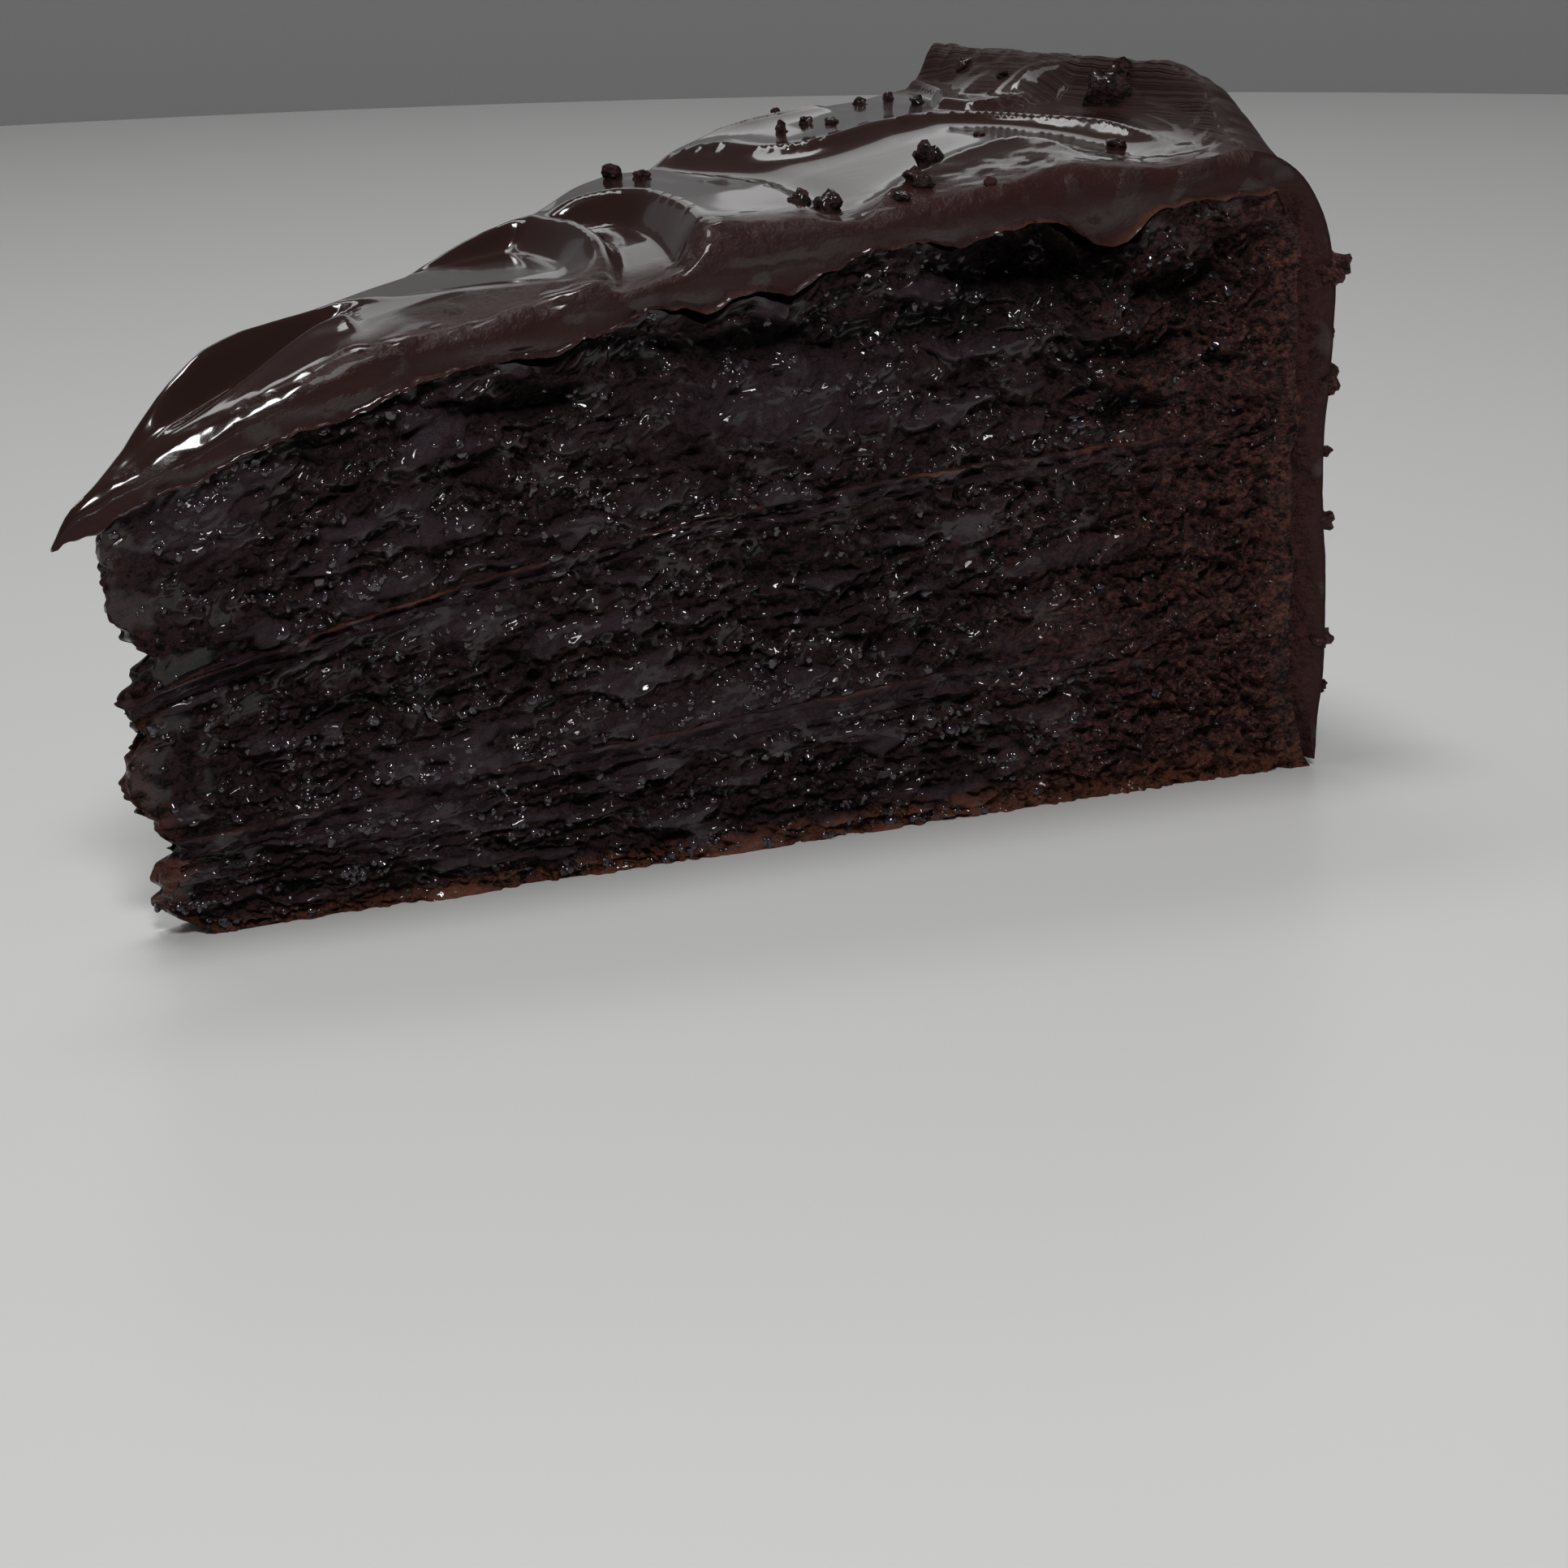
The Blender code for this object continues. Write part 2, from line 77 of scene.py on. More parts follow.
# Where the side coat meets the sponge: waves of its inside, how far it laps over and is
# tucked in, how far in from a cut it moves with that cut, the depth there in millimetres
COAT_WAVES = ((0.0046, 0.0006), (0.0021, 0.0003))
COAT_LAP = 0.00030
COAT_TUCK = 0.00020
CUT_SKIN = 0.0025
BOUNDARY_DEPTH = 0.35
BOUNDARY_SHARES = (0.965, 0.995)
BOUNDARY_RADII = (0.0975, 0.0985)

# The ragged tip: height above the base and distance from the cake's centre
TIP_OUTLINE = ((0.0000, 0.0094), (0.0020, 0.0063), (0.0040, 0.0062), (0.0065, 0.0078),
               (0.0095, 0.0052), (0.0120, 0.0039), (0.0155, 0.0054), (0.0180, 0.0046),
               (0.0207, 0.0068), (0.0240, 0.0040), (0.0275, 0.0035), (0.0300, 0.0039))
FROSTING_TIP = 0.0007

# The side coat and the rounded rim
COAT_FOOT_FLARE = 0.0023
COAT_FOOT_HEIGHT = 0.0100
COAT_BOTTOM = 0.0006
SPONGE_SHOULDER_DROP = 0.0060
SPONGE_SHOULDER_INSET = 0.0022
RIM_ROUND_FAR = 0.0028
RIM_ROUND_NEAR = 0.0080
RIM_ROUND_TALLNESS = 1.25
LIP_HEIGHT = 0.0035
LIP_STEP = 0.22
LIP_RAGGED = 0.00035
LIP_BREAK = (0.925, 0.965)
LIP_FADE = (-0.98, -0.24)
# Inner foot of the raised lip round the rim: share of the half wedge, radius
LIP_FOOT = ((-1.00, 0.0890), (-0.85, 0.0925), (-0.50, 0.0950), (0.00, 0.0968),
            (0.22, 0.0965), (0.38, 0.0895), (0.55, 0.0897), (0.70, 0.0930),
            (0.85, 0.0950), (1.00, 0.0965))

# Hollows in the top of the sponge under the frosting: radius, depth, half width
NEAR_HOLLOWS = ((0.0375, 0.0020, 0.0030), (0.0490, 0.0020, 0.0025), (0.0560, 0.0020, 0.0030),
                (0.0700, 0.0012, 0.0030), (0.0828, 0.0042, 0.0032))
FAR_HOLLOWS = ((0.0300, 0.0012, 0.0035), (0.0520, 0.0020, 0.0030), (0.0780, 0.0026, 0.0035))
FROSTING_SAG = 0.6

# Torn holes in the near cut face: radius, height, half length, half height, depth
NEAR_PITS = ((0.0775, 0.0432, 0.0070, 0.0026, 0.0058), (0.0895, 0.0402, 0.0042, 0.0018, 0.0032),
             (0.0940, 0.0430, 0.0028, 0.0012, 0.0018), (0.0850, 0.0356, 0.0036, 0.0010, 0.0020),
             (0.0850, 0.0312, 0.0036, 0.0011, 0.0022), (0.0340, 0.0362, 0.0060, 0.0012, 0.0016),
             (0.0520, 0.0392, 0.0100, 0.0013, 0.0018), (0.0700, 0.0395, 0.0045, 0.0016, 0.0020),
             (0.0120, 0.0196, 0.0040, 0.0016, 0.0012), (0.0225, 0.0152, 0.0035, 0.0009, 0.0010))
# Places smeared smooth by the knife: radius, height, half length, half height
NEAR_SMEARS = ((0.0110, 0.0300, 0.0055, 0.0030), (0.0560, 0.0345, 0.0110, 0.0036),
               (0.0500, 0.0108, 0.0140, 0.0026), (0.0800, 0.0138, 0.0052, 0.0018),
               (0.0300, 0.0210, 0.0060, 0.0022), (0.0250, 0.0060, 0.0070, 0.0022))

# Patterns of the torn crumb: length and thickness of their lumps, in millimetres
BEND_LUMPS = (3.6, 1.8)
SMEAR_LUMPS = (8.0, 2.3)
SMEAR_BREAKS = (2.2, 1.0)
DRY_LUMPS = (9.0, 6.0)
BROAD_LUMPS = (6.5, 2.4)
KNOBS = (2.3, 1.3)
TEARS = (4.2, 1.2)
HOLES = (3.2, 1.5)
PORES = (1.5, 0.95)
GRAINS = (1.00, 0.85)
FINE_GRAINS = (0.62, 0.55)
# How far the patterns are bent, in millimetres, and the share of it that goes up and down
BEND = 1.1
BEND_RISE = 0.55
# Shares of the cells that hold a hole or a pore
HOLE_SHARE = 0.38
PORE_SHARE = 0.70
# Radii between which the crumb turns dry, and how much further out above a height
DRY_RADII = (0.064, 0.096)
DRY_SHIFT = 0.30
DRY_SHIFT_HEIGHT = 0.016
KNOB_DEPTH = 0.35
FINE_GRAIN_DEPTH = 0.13
SMOOTHED = 0.72
# Layers are pressed flat: share of the height that the patterns see, gap between layers
PATTERN_SQUASH = 0.35
LAYER_STEP = 0.05
TIP_PULL_REACH = 0.0022
# Wet grains: streaks and knots that they gather in, sizes in millimetres, how far sunk
BEAD_STREAKS = (7.0, 7.0, 1.5)
BEAD_KNOTS = (1.8, 1.8, 1.0)
BEAD_SIZES = (0.30, 0.90)
BEAD_SINK = 0.30

# How far the frosting's top stands above its plain dome along each cut: radius, rise
NEAR_EDGE_RISE = ((0.0040, 0.0000), (0.0118, 0.0005), (0.0173, 0.0012), (0.0230, 0.0017),
                  (0.0265, 0.0011), (0.0301, 0.0003), (0.0350, 0.0000), (0.0408, -0.0001),
                  (0.0448, -0.0002), (0.0490, 0.0009), (0.0512, 0.0011), (0.0575, -0.0002),
                  (0.0615, -0.0011), (0.0674, -0.0008), (0.0734, -0.0005), (0.0795, 0.0001),
                  (0.0879, -0.0012), (0.0928, -0.0006), (0.0960, 0.0000))
FAR_EDGE_RISE = ((0.0040, 0.0000), (0.0060, 0.0005), (0.0084, 0.0014), (0.0115, 0.0032),
                 (0.0148, 0.0040), (0.0184, 0.0036), (0.0222, 0.0025), (0.0262, 0.0013),
                 (0.0307, 0.0008), (0.0345, 0.0006), (0.0390, 0.0005), (0.0418, 0.0005),
                 (0.0446, 0.0003), (0.0487, -0.0005), (0.0505, -0.0002), (0.0535, 0.0002),
                 (0.0579, 0.0001), (0.0622, -0.0009), (0.0651, 0.0000), (0.0740, 0.0005),
                 (0.0898, -0.0001), (0.0980, 0.0002))
# Those lines are worked out at fine steps and smoothed over a window of them
EDGE_END = 0.102
EDGE_STEPS = 409
EDGE_WINDOW = 15
# Width of the raised far rim round the first hollow, and where it has opened out
TIP_RIM_WIDTH = 0.0015
TIP_RIM_END = (0.0240, 0.0330)
# Spoon hollows: centre x and y, half length, half width, turn, depth
SPOON_HOLLOWS = ((0.0172, 0.0028, 0.0095, 0.0021, 12.0, 0.0012),)
# The second hollow opens like a fan: the place it starts from, how far its floor and its
# crest reach from there, the directions it opens between, and its floor's rise and slope
SCOOP_START = (0.0240, 0.0072)
SCOOP_FLOOR = 0.0195
SCOOP_CREST = 0.0226
SCOOP_NEAR = (-43.0, -31.0)
SCOOP_FAR = (10.5, 4.0)
SCOOP_RISE = 0.0011
SCOOP_SLOPE = -0.16
SCOOP_RISE_RADIUS = 0.0270
# The pocket behind it: the edge it is under, the width of its wall, its floor, its ends
POCKET_EDGE = ((0.0478, 0.0098), (0.0502, 0.0086), (0.0524, 0.0064), (0.0532, 0.0032),
               (0.0526, -0.0002), (0.0514, -0.0042), (0.0494, -0.0090), (0.0480, -0.0125))
POCKET_WALL = 0.0022
POCKET_FLOOR = -0.0016
POCKET_NEAR = (-0.0150, -0.0075)
POCKET_FAR = (0.0100, 0.0075)
# The shoulder down to the near cut, by the tip and beyond it: its drop, the share of the
# half wedge where it starts, the radii between which it changes, how it steepens
SHOULDER_DROP = (0.0009, 0.0010)
SHOULDER_START = (0.15, -0.10)
SHOULDER_RADII = (0.0240, 0.0330)
SHOULDER_POWER = 1.25
SHOULDER_RIPPLE = 0.00010
# Width of the dull brown shoulder: radius, width
SHOULDER_DULL = ((0.0180, 0.0000), (0.0280, 0.0070), (0.0450, 0.0075), (0.0580, 0.0046))
# Crests that strokes left: height, width on the left of the route and on its right, and
# the points that it passes
CRESTS = (
    (0.0013, 0.0028, 0.0030, ((0.0060, 0.0003), (0.0130, 0.0010), (0.0190, 0.0012),
                              (0.0230, 0.0010), (0.0262, 0.0000))),
    (0.0003, 0.0008, 0.0016, ((0.0262, 0.0052), (0.0272, 0.0040), (0.0266, 0.0022),
                              (0.0252, 0.0002), (0.0230, -0.0018))),
    (0.0005, 0.0008, 0.0008, ((0.0462, 0.0118), (0.0467, 0.0086), (0.0466, 0.0053),
                              (0.0456, 0.0005), (0.0440, -0.0045), (0.0425, -0.0085))),
    (0.0006, 0.0006, 0.0012, ((0.0480, 0.0062), (0.0492, 0.0030), (0.0488, -0.0010),
                              (0.0470, -0.0055))),
    (0.0005, 0.0024, 0.0008, POCKET_EDGE),
    (0.0007, 0.0010, 0.0022, ((0.0590, 0.0160), (0.0600, 0.0085), (0.0612, 0.0030),
                              (0.0602, -0.0040), (0.0575, -0.0120), (0.0560, -0.0180))),
    (0.0013, 0.0034, 0.0010, ((0.0610, 0.0175), (0.0645, 0.0110), (0.0660, 0.0055),
                              (0.0700, 0.0030), (0.0770, 0.0030), (0.0840, 0.0015),
                              (0.0880, -0.0035), (0.0895, -0.0085), (0.0905, -0.0160))),
    (0.0010, 0.0012, 0.0034, ((0.0590, -0.0155), (0.0640, -0.0125), (0.0690, -0.0105),
                              (0.0750, -0.0092), (0.0800, -0.0105), (0.0815, -0.0170))),
    (0.0008, 0.0030, 0.0010, ((0.0640, 0.0180), (0.0690, 0.0165), (0.0750, 0.0160),
                              (0.0830, 0.0175))),
)
CREST_SOFTNESS = 0.00042
ROUTE_STEPS = 10
STREAK_REACH = 0.006
SWIRL_START = (0.0040, 0.0090)
NEAR_EDGE_ROUND = 0.0024
FAR_EDGE_ROUND = 0.0010
SIDE_STROKE = 0.00035
SIDE_STROKE_SPACING = 0.0264
SIDE_STROKE_LEAN = 1.3

# The frosting's cut faces: lumps in millimetres, and the depths that they are torn to
CUT_LUMPS = (4.5, 4.5, 2.4)
CUT_GRAINS = (1.3, 1.3, 0.9)
CUT_DEPTH = 0.00030
CUT_GRAIN_DEPTH = (0.00012, 0.00030)
DRAGGED_CRUMB = 0.0008
SMUDGE_RIPPLES = (1.7, 1.7, 0.45)
SMUDGE_SPECKS = (0.8, 0.8, 0.5)
SMUDGE_DEPTH = (0.00013, 0.00009, 0.0001)
DEEPEST_SHARE = 0.05
# The thin reddish lower edge, in millimetres: its tatters and its patches
FRINGE_TATTERS = (1.8, 1.8, 2.5)
FRINGE_PATCH = 6.0
WET_PATCH = 2.4
# Radii between which the top is combed, and how its rows crowd to the cuts
COMB_RADII = (0.0920, 0.0965)
ROW_CROWDING = 0.45

# Wet smudges on the near cut of the frosting: radius, height, half length, half height
SMUDGES = ((0.0555, 0.0468, 0.0062, 0.0012), (0.0685, 0.0464, 0.0030, 0.0016),
           (0.0825, 0.0476, 0.0036, 0.0016), (0.0485, 0.0436, 0.0026, 0.0010),
           (0.0345, 0.0410, 0.0040, 0.0010), (0.0410, 0.0446, 0.0014, 0.0014),
           (0.0215, 0.0382, 0.0050, 0.0008), (0.0130, 0.0345, 0.0050, 0.0007),
           (0.0745, 0.0462, 0.0020, 0.0010), (0.0610, 0.0450, 0.0030, 0.0007))

# Wet drops on the near cut that catch the light: radius, height, length
WET_DROPS = ((0.0585, 0.0116, 0.0019), (0.0600, 0.0118, 0.0014), (0.0469, 0.0113, 0.0013),
             (0.0481, 0.0113, 0.0010), (0.0340, 0.0098, 0.0014), (0.0371, 0.0244, 0.0015),
             (0.0388, 0.0244, 0.0008), (0.0193, 0.0218, 0.0009), (0.0228, 0.0235, 0.0010),
             (0.0659, 0.0291, 0.0010), (0.0800, 0.0311, 0.0015), (0.0722, 0.0336, 0.0009),
             (0.0734, 0.0123, 0.0009), (0.0692, 0.0112, 0.0010), (0.0089, 0.0084, 0.0009),
             (0.0291, 0.0243, 0.0009), (0.0526, 0.0271, 0.0010), (0.0418, 0.0310, 0.0008),
             (0.0821, 0.0320, 0.0008), (0.0140, 0.0298, 0.0009), (0.0269, 0.0290, 0.0008),
             (0.0636, 0.0116, 0.0009), (0.0340, 0.0246, 0.0010))
DROP_REACH = 0.0008
DROP_SHAPE = (0.85, 0.22, 0.40)

# Crumbs fallen on the frosting: x, y and size
CRUMBS = ((0.0556, 0.0118, 0.0017), (0.0563, 0.0088, 0.0013), (0.0755, 0.0170, 0.0011),
          (0.0717, 0.0110, 0.0013), (0.0747, 0.0118, 0.0012), (0.0760, 0.0100, 0.0011),
          (0.0896, 0.0157, 0.0014), (0.0895, 0.0195, 0.0013), (0.0860, 0.0190, 0.0012),
          (0.0716, -0.0082, 0.0022), (0.0669, -0.0125, 0.0020), (0.0644, -0.0137, 0.0013),
          (0.0605, -0.0098, 0.0017), (0.0589, -0.0084, 0.0013), (0.0711, -0.0160, 0.0009),
          (0.0972, -0.0004, 0.0042), (0.0875, -0.0119, 0.0014), (0.0955, 0.0165, 0.0013),
          (0.0945, 0.0100, 0.0011), (0.0800, -0.0040, 0.0009), (0.0470, 0.0010, 0.0008))
CRUMB_SINK = 0.25
CRUMB_BED = 0.0003
LARGE_CRUMB = 0.0022
LARGE_CRUMB_SINK = 0.28
SIDE_SCRAPS = ((-13.4, 0.0408, 0.0026), (-13.2, 0.0318, 0.0027), (-13.5, 0.0205, 0.0015),
               (-13.4, 0.0105, 0.0018), (-13.3, 0.0150, 0.0011), (-13.5, 0.0262, 0.0010),
               (-13.4, 0.0066, 0.0012), (-13.5, 0.0358, 0.0009))
SCRAP_STAND = 0.15

# Fineness of the surfaces: cuts outwards, round and through
TOP_SPONGE_CUTS = (500, 10, 86)
MIDDLE_SPONGE_CUTS = (500, 10, 72)
BOTTOM_SPONGE_CUTS = (500, 10, 58)
FILLING_CUTS = (460, 8, 8)
FROSTING_CUTS = (240, 128, 12)
RIM_CUTS = 16
SIDE_CUTS = 68
SETTLING_STEPS = 5
CORNER_ANGLE = math.radians(68.0)
MM = 1000.0

# The fine grain in both materials: grains to a millimetre, how flat, heights of bumps
GRAINS_PER_MM = 1.35
GRAIN_FLATNESS = 1.3
CRUMB_BUMP = 0.00032
FROSTING_BUMP = 0.00016

# The stage: half the floor's side, the round wall, roughness, light from all round
FLOOR_REACH = 1.2
WALL_SIDES = 96
WALL_RADIUS = 0.55
WALL_HEIGHT = 0.24
FLOOR_ROUGHNESS = 0.35
WALL_ROUGHNESS = 0.6
AIR_LIGHT = 0.07
LAMP_TARGET = (0.0, 0.0, 0.03)
# Lamps: name, the setting of its power, width, depth and place
LAMPS = (("ceiling_lamp", "ceiling_power", 0.13, 0.13, (-0.06, 0.05, 0.62)),
         ("window_lamp", "window_power", 0.30, 0.10, (0.030, 0.24, 0.465)),
         ("low_window_lamp", "low_power", 0.50, 0.24, (0.34, 0.40, 0.25)),
         ("front_lamp", "front_power", 0.13, 0.13, (-0.20, -0.36, 0.50)))

# The photograph's camera
PHOTO_SIDE = 1932.0
PHOTO_FOCAL = 4000.0
SENSOR = 36.0
CAMERA_PLACE = (-0.0874, -0.2044, 0.0811)
CAMERA_LOOK = (0.5631, 0.7681, -0.3048)
CAMERA_ROLL = math.radians(1.247)


class CakeSizes(PropertyGroup):
    """Sizes of the whole slice."""
    cake_radius: FloatProperty(name="Cake radius", description="Radius of the whole cake",
                               default=0.102, unit="LENGTH")
    wedge_angle: FloatProperty(name="Wedge angle", description="Angle of the cut wedge",
                               default=math.radians(28.0), subtype="ANGLE")
    centre_x: FloatProperty(name="Centre", description="X of the whole cake's centre",
                            default=-0.056, unit="LENGTH")
    side_face: FloatProperty(name="Side face", description="Outer radius of the side coat",
                             default=0.1021, unit="LENGTH")
    coat_inside: FloatProperty(name="Coat inside", description="Inner radius of the side coat",
                               default=0.0992, unit="LENGTH")
    lower_filling: FloatProperty(name="Lower filling", description="Thickness at the side",
                                 default=0.0018, unit="LENGTH")
    upper_filling: FloatProperty(name="Upper filling", description="Thickness at the side",
                                 default=0.0015, unit="LENGTH")


class SpongeLook(PropertyGroup):
    """Crumb of the sponge."""
    moist: FloatVectorProperty(name="Moist crumb", description="Colour of the moist crumb",
                               subtype="COLOR", default=(0.037, 0.0172, 0.0190))
    smeared: FloatVectorProperty(name="Smeared crumb", description="Colour where it is smeared",
                                 subtype="COLOR", default=(0.023, 0.0130, 0.0195))
    dry: FloatVectorProperty(name="Dry crumb", description="Colour near the outer side",
                             subtype="COLOR", default=(0.066, 0.0260, 0.0240))
    fleck: FloatVectorProperty(name="Crumb flecks", description="Colour of its pale flecks",
                               subtype="COLOR", default=(0.170, 0.0650, 0.0450))
    # The crust colour also draws the painted highlight along the fillings' top edges.
    crust: FloatVectorProperty(name="Crust", description="Colour of the baked crust",
                               subtype="COLOR", default=(0.150, 0.0500, 0.0280))
    lump_depth: FloatProperty(name="Lumps", description="Depth of the broad lumps, mm",
                              default=0.75)
    tear_depth: FloatProperty(name="Tears", description="Depth of the torn streaks, mm",
                              default=0.60)
    hole_depth: FloatProperty(name="Holes", description="Depth of the larger holes, mm",
                              default=0.95)
    pore_depth: FloatProperty(name="Pores", description="Depth of the small pores, mm",
                              default=0.60)
    grain_depth: FloatProperty(name="Grains", description="Depth of cracks between grains, mm",
                               default=0.60)
    grain_count: IntProperty(name="Wet grains", description="Wet grains on each layer",
                             default=900)
    seed: IntProperty(name="Seed", description="Seed of the crumb's pattern", default=7)


class FrostingLook(PropertyGroup):
    """Frosting and filling."""
    frosting: FloatVectorProperty(name="Frosting", description="Colour of the frosting",
                                  subtype="COLOR", default=(0.024, 0.0095, 0.0075))
    cut_frosting: FloatVectorProperty(name="Cut frosting", description="Colour where it is cut",
                                      subtype="COLOR", default=(0.033, 0.0130, 0.0120))
    combed: FloatVectorProperty(name="Combed frosting", description="Colour of the combed rim",
                                subtype="COLOR", default=(0.020, 0.0085, 0.0070))
    fringe: FloatVectorProperty(name="Fringe", description="Colour of its thin lower edge",
                                subtype="COLOR", default=(0.110, 0.044, 0.030))
    seed: IntProperty(name="Seed", description="Seed of the smears and loose crumbs",
                      default=23)


class StageLook(PropertyGroup):
    """Floor, wall and lamps."""
    floor: FloatVectorProperty(name="Floor", description="Colour of the pale floor",
                               subtype="COLOR", default=(0.74, 0.74, 0.73))
    wall: FloatVectorProperty(name="Wall", description="Colour of the grey backdrop",
                              subtype="COLOR", default=(0.30, 0.30, 0.305))
    ceiling_power: FloatProperty(name="Ceiling lamp", description="Power of the lamp above",
                                 default=1.1, unit="POWER")
    window_power: FloatProperty(name="Window lamp", description="Power of the wide lamp behind",
                                default=0.38, unit="POWER")
    low_power: FloatProperty(name="Low window lamp", description="Power of the low lamp behind",
                             default=0.23, unit="POWER")
    front_power: FloatProperty(name="Front lamp", description="Power of the small front lamp",
                               default=1.6, unit="POWER")


def smooth_step(low, high, value):
    """0 at low, 1 at high, with a soft start and end."""
    share = np.clip((value - low) / (high - low), 0.0, 1.0)
    return share * share * (3.0 - 2.0 * share)


def lattice_hash(cells, seed, channel=0):
    """An even random number from 0 to 1 for each whole-numbered cell."""
    number = (cells[..., 0].astype(np.uint32) * np.uint32(374761393)
              + cells[..., 1].astype(np.uint32) * np.uint32(668265263)
              + cells[..., 2].astype(np.uint32) * np.uint32(2246822519)
              + np.uint32(seed * 1013 + channel * 7919))
    number = (number ^ (number >> np.uint32(13))) * np.uint32(1274126177)
    number = (number ^ (number >> np.uint32(16))) * np.uint32(2654435761)
    number = number ^ (number >> np.uint32(15))
    return number.astype(np.float64) / 4294967295.0


def soft_noise(points, seed):
    """Smooth noise from about -1 to 1, one lump to a unit."""
    base = np.floor(points).astype(np.int64)
    part = points - base
    fade = part ** 3 * (part * (part * 6.0 - 15.0) + 10.0)
    total = np.zeros(len(points))
    for corner in np.ndindex(2, 2, 2):
        cell = base + corner
        turn = lattice_hash(cell, seed) * math.tau
        lift = lattice_hash(cell, seed, 1) * 2.0 - 1.0
        flat = np.sqrt(1.0 - lift * lift)
        away = part - corner
        slope = (away[:, 0] * flat * np.cos(turn) + away[:, 1] * flat * np.sin(turn)
                 + away[:, 2] * lift)
        weight = np.prod(np.where(corner, fade, 1.0 - fade), axis=1)
        total += weight * slope
    return total * 1.6


def cell_pits(points, seed, filled):
    """Round pits, one in most cells of a unit lattice, from 0 to 1 deep at the middle."""
    base = np.floor(points).astype(np.int64)
    nearest = np.full(len(points), 9.0)
    size = np.zeros(len(points))
    for step in np.ndindex(3, 3, 3):
        cell = base + step - 1
        middle = cell + np.stack([lattice_hash(cell, seed, c) for c in (2, 3, 4)], axis=1)
        distance = np.linalg.norm(points - middle, axis=1)
        chance = lattice_hash(cell, seed, 5)
        width = np.where(chance < filled, 0.55 + 0.45 * lattice_hash(cell, seed, 6), 0.0)
        reach = distance / np.maximum(width, 1e-3)
        closer = reach < nearest
        nearest = np.where(closer, reach, nearest)
        size = np.where(closer, width, size)
    return smooth_step(0.75, 0.20, nearest) * size


def grain_lumps(points, seed):
    """Distance to the nearest grain middle: low on grains, high in the cracks."""
    base = np.floor(points).astype(np.int64)
    nearest = np.full(len(points), 9.0)
    for step in np.ndindex(3, 3, 3):
        cell = base + step - 1
        middle = cell + np.stack([lattice_hash(cell, seed, c) for c in (2, 3, 4)], axis=1)
        nearest = np.minimum(nearest, np.linalg.norm(points - middle, axis=1))
    return nearest


def layer_line(line, radius, sizes):
    """Height of one of the lines between the layers, which sink towards the tip."""
    rim_height, sink, power = line
    return rim_height - sink * np.clip(1.0 - radius / sizes.cake_radius, 0.0, 1.0) ** power


def wavy_line(line, radius, across, sizes, wildness=1.0):
    """A layer's line with the uneven waves that show at the cuts."""
    height = layer_line(line, radius, sizes)
    angle = across * sizes.wedge_angle / 2
    points = np.stack([radius * np.cos(angle), radius * np.sin(angle),
                       np.full_like(radius, line[0])], axis=1)
    for number, (length, lift) in enumerate(LINE_WAVES):
        height = height + wildness * lift * soft_noise(points / length, 60 + number)
    if wildness > 1.0:
        for number, (length, lift) in enumerate(EDGE_TATTERS):
            height = height + lift * soft_noise(points / length, 70 + number)
    return height


def filling_bottom(line, thickness, radius, across, sizes):
    """Lower surface of a filling, which is thinner towards the tip."""
    share = FILLING_THIN_END + (1.0 - FILLING_THIN_END) * radius / sizes.cake_radius
    lower = (line[0] - thickness, line[1], line[2])
    return wavy_line(lower, radius, across, sizes) + thickness * (1.0 - share)


def hollow_depth(hollows, radius):
    """Depth of the row of hollows along one cut face."""
    return sum(depth * np.exp(-((radius - middle) / half_width) ** 2)
               for middle, depth, half_width in hollows)


def top_hollow(radius, across):
    """Hollows under the frosting reach in from both cut faces and fade at mid width."""
    near = hollow_depth(NEAR_HOLLOWS, radius) * np.maximum(0.0, -across)
    far = hollow_depth(FAR_HOLLOWS, radius) * np.maximum(0.0, across)
    return near + far


def tip_radius(height):
    """Distance from the cake's centre at which the torn tip starts."""
    heights = [point[0] for point in TIP_OUTLINE]
    radii = [point[1] for point in TIP_OUTLINE]
    return np.interp(height, heights, radii)


def coat_inside(height, sizes):
    """Inner radius of the side coat: flared at the foot, drawn in at the shoulder."""
    foot = np.maximum(0.0, 1.0 - height / COAT_FOOT_HEIGHT) ** 2 * COAT_FOOT_FLARE
    shoulder_start = TOP_SPONGE_TOP[0] - SPONGE_SHOULDER_DROP
    rise = np.maximum(0.0, (height - shoulder_start) / SPONGE_SHOULDER_DROP)
    level = np.atleast_1d(height)
    points = np.stack([np.zeros(level.shape), np.zeros(level.shape), level], axis=1)
    wave = sum(lift * soft_noise(points / length, 80 + number)
               for number, (length, lift) in enumerate(COAT_WAVES))
    return sizes.coat_inside + foot - SPONGE_SHOULDER_INSET * rise ** 2 + wave


def sponge_radius(share, height, sizes):
    """Radius at a share of the way from the torn tip to the side coat."""
    start = tip_radius(height)
    return start + (coat_inside(height, sizes) - GAP - start) * share


def height_on(surface, share, across, sizes):
    """Height of a layer's surface where the ray at this share of the way meets it."""
    height = surface(sizes.cake_radius * share, across)
    for _ in range(SETTLING_STEPS):
        height = surface(sponge_radius(share, height, sizes), across)
    return height


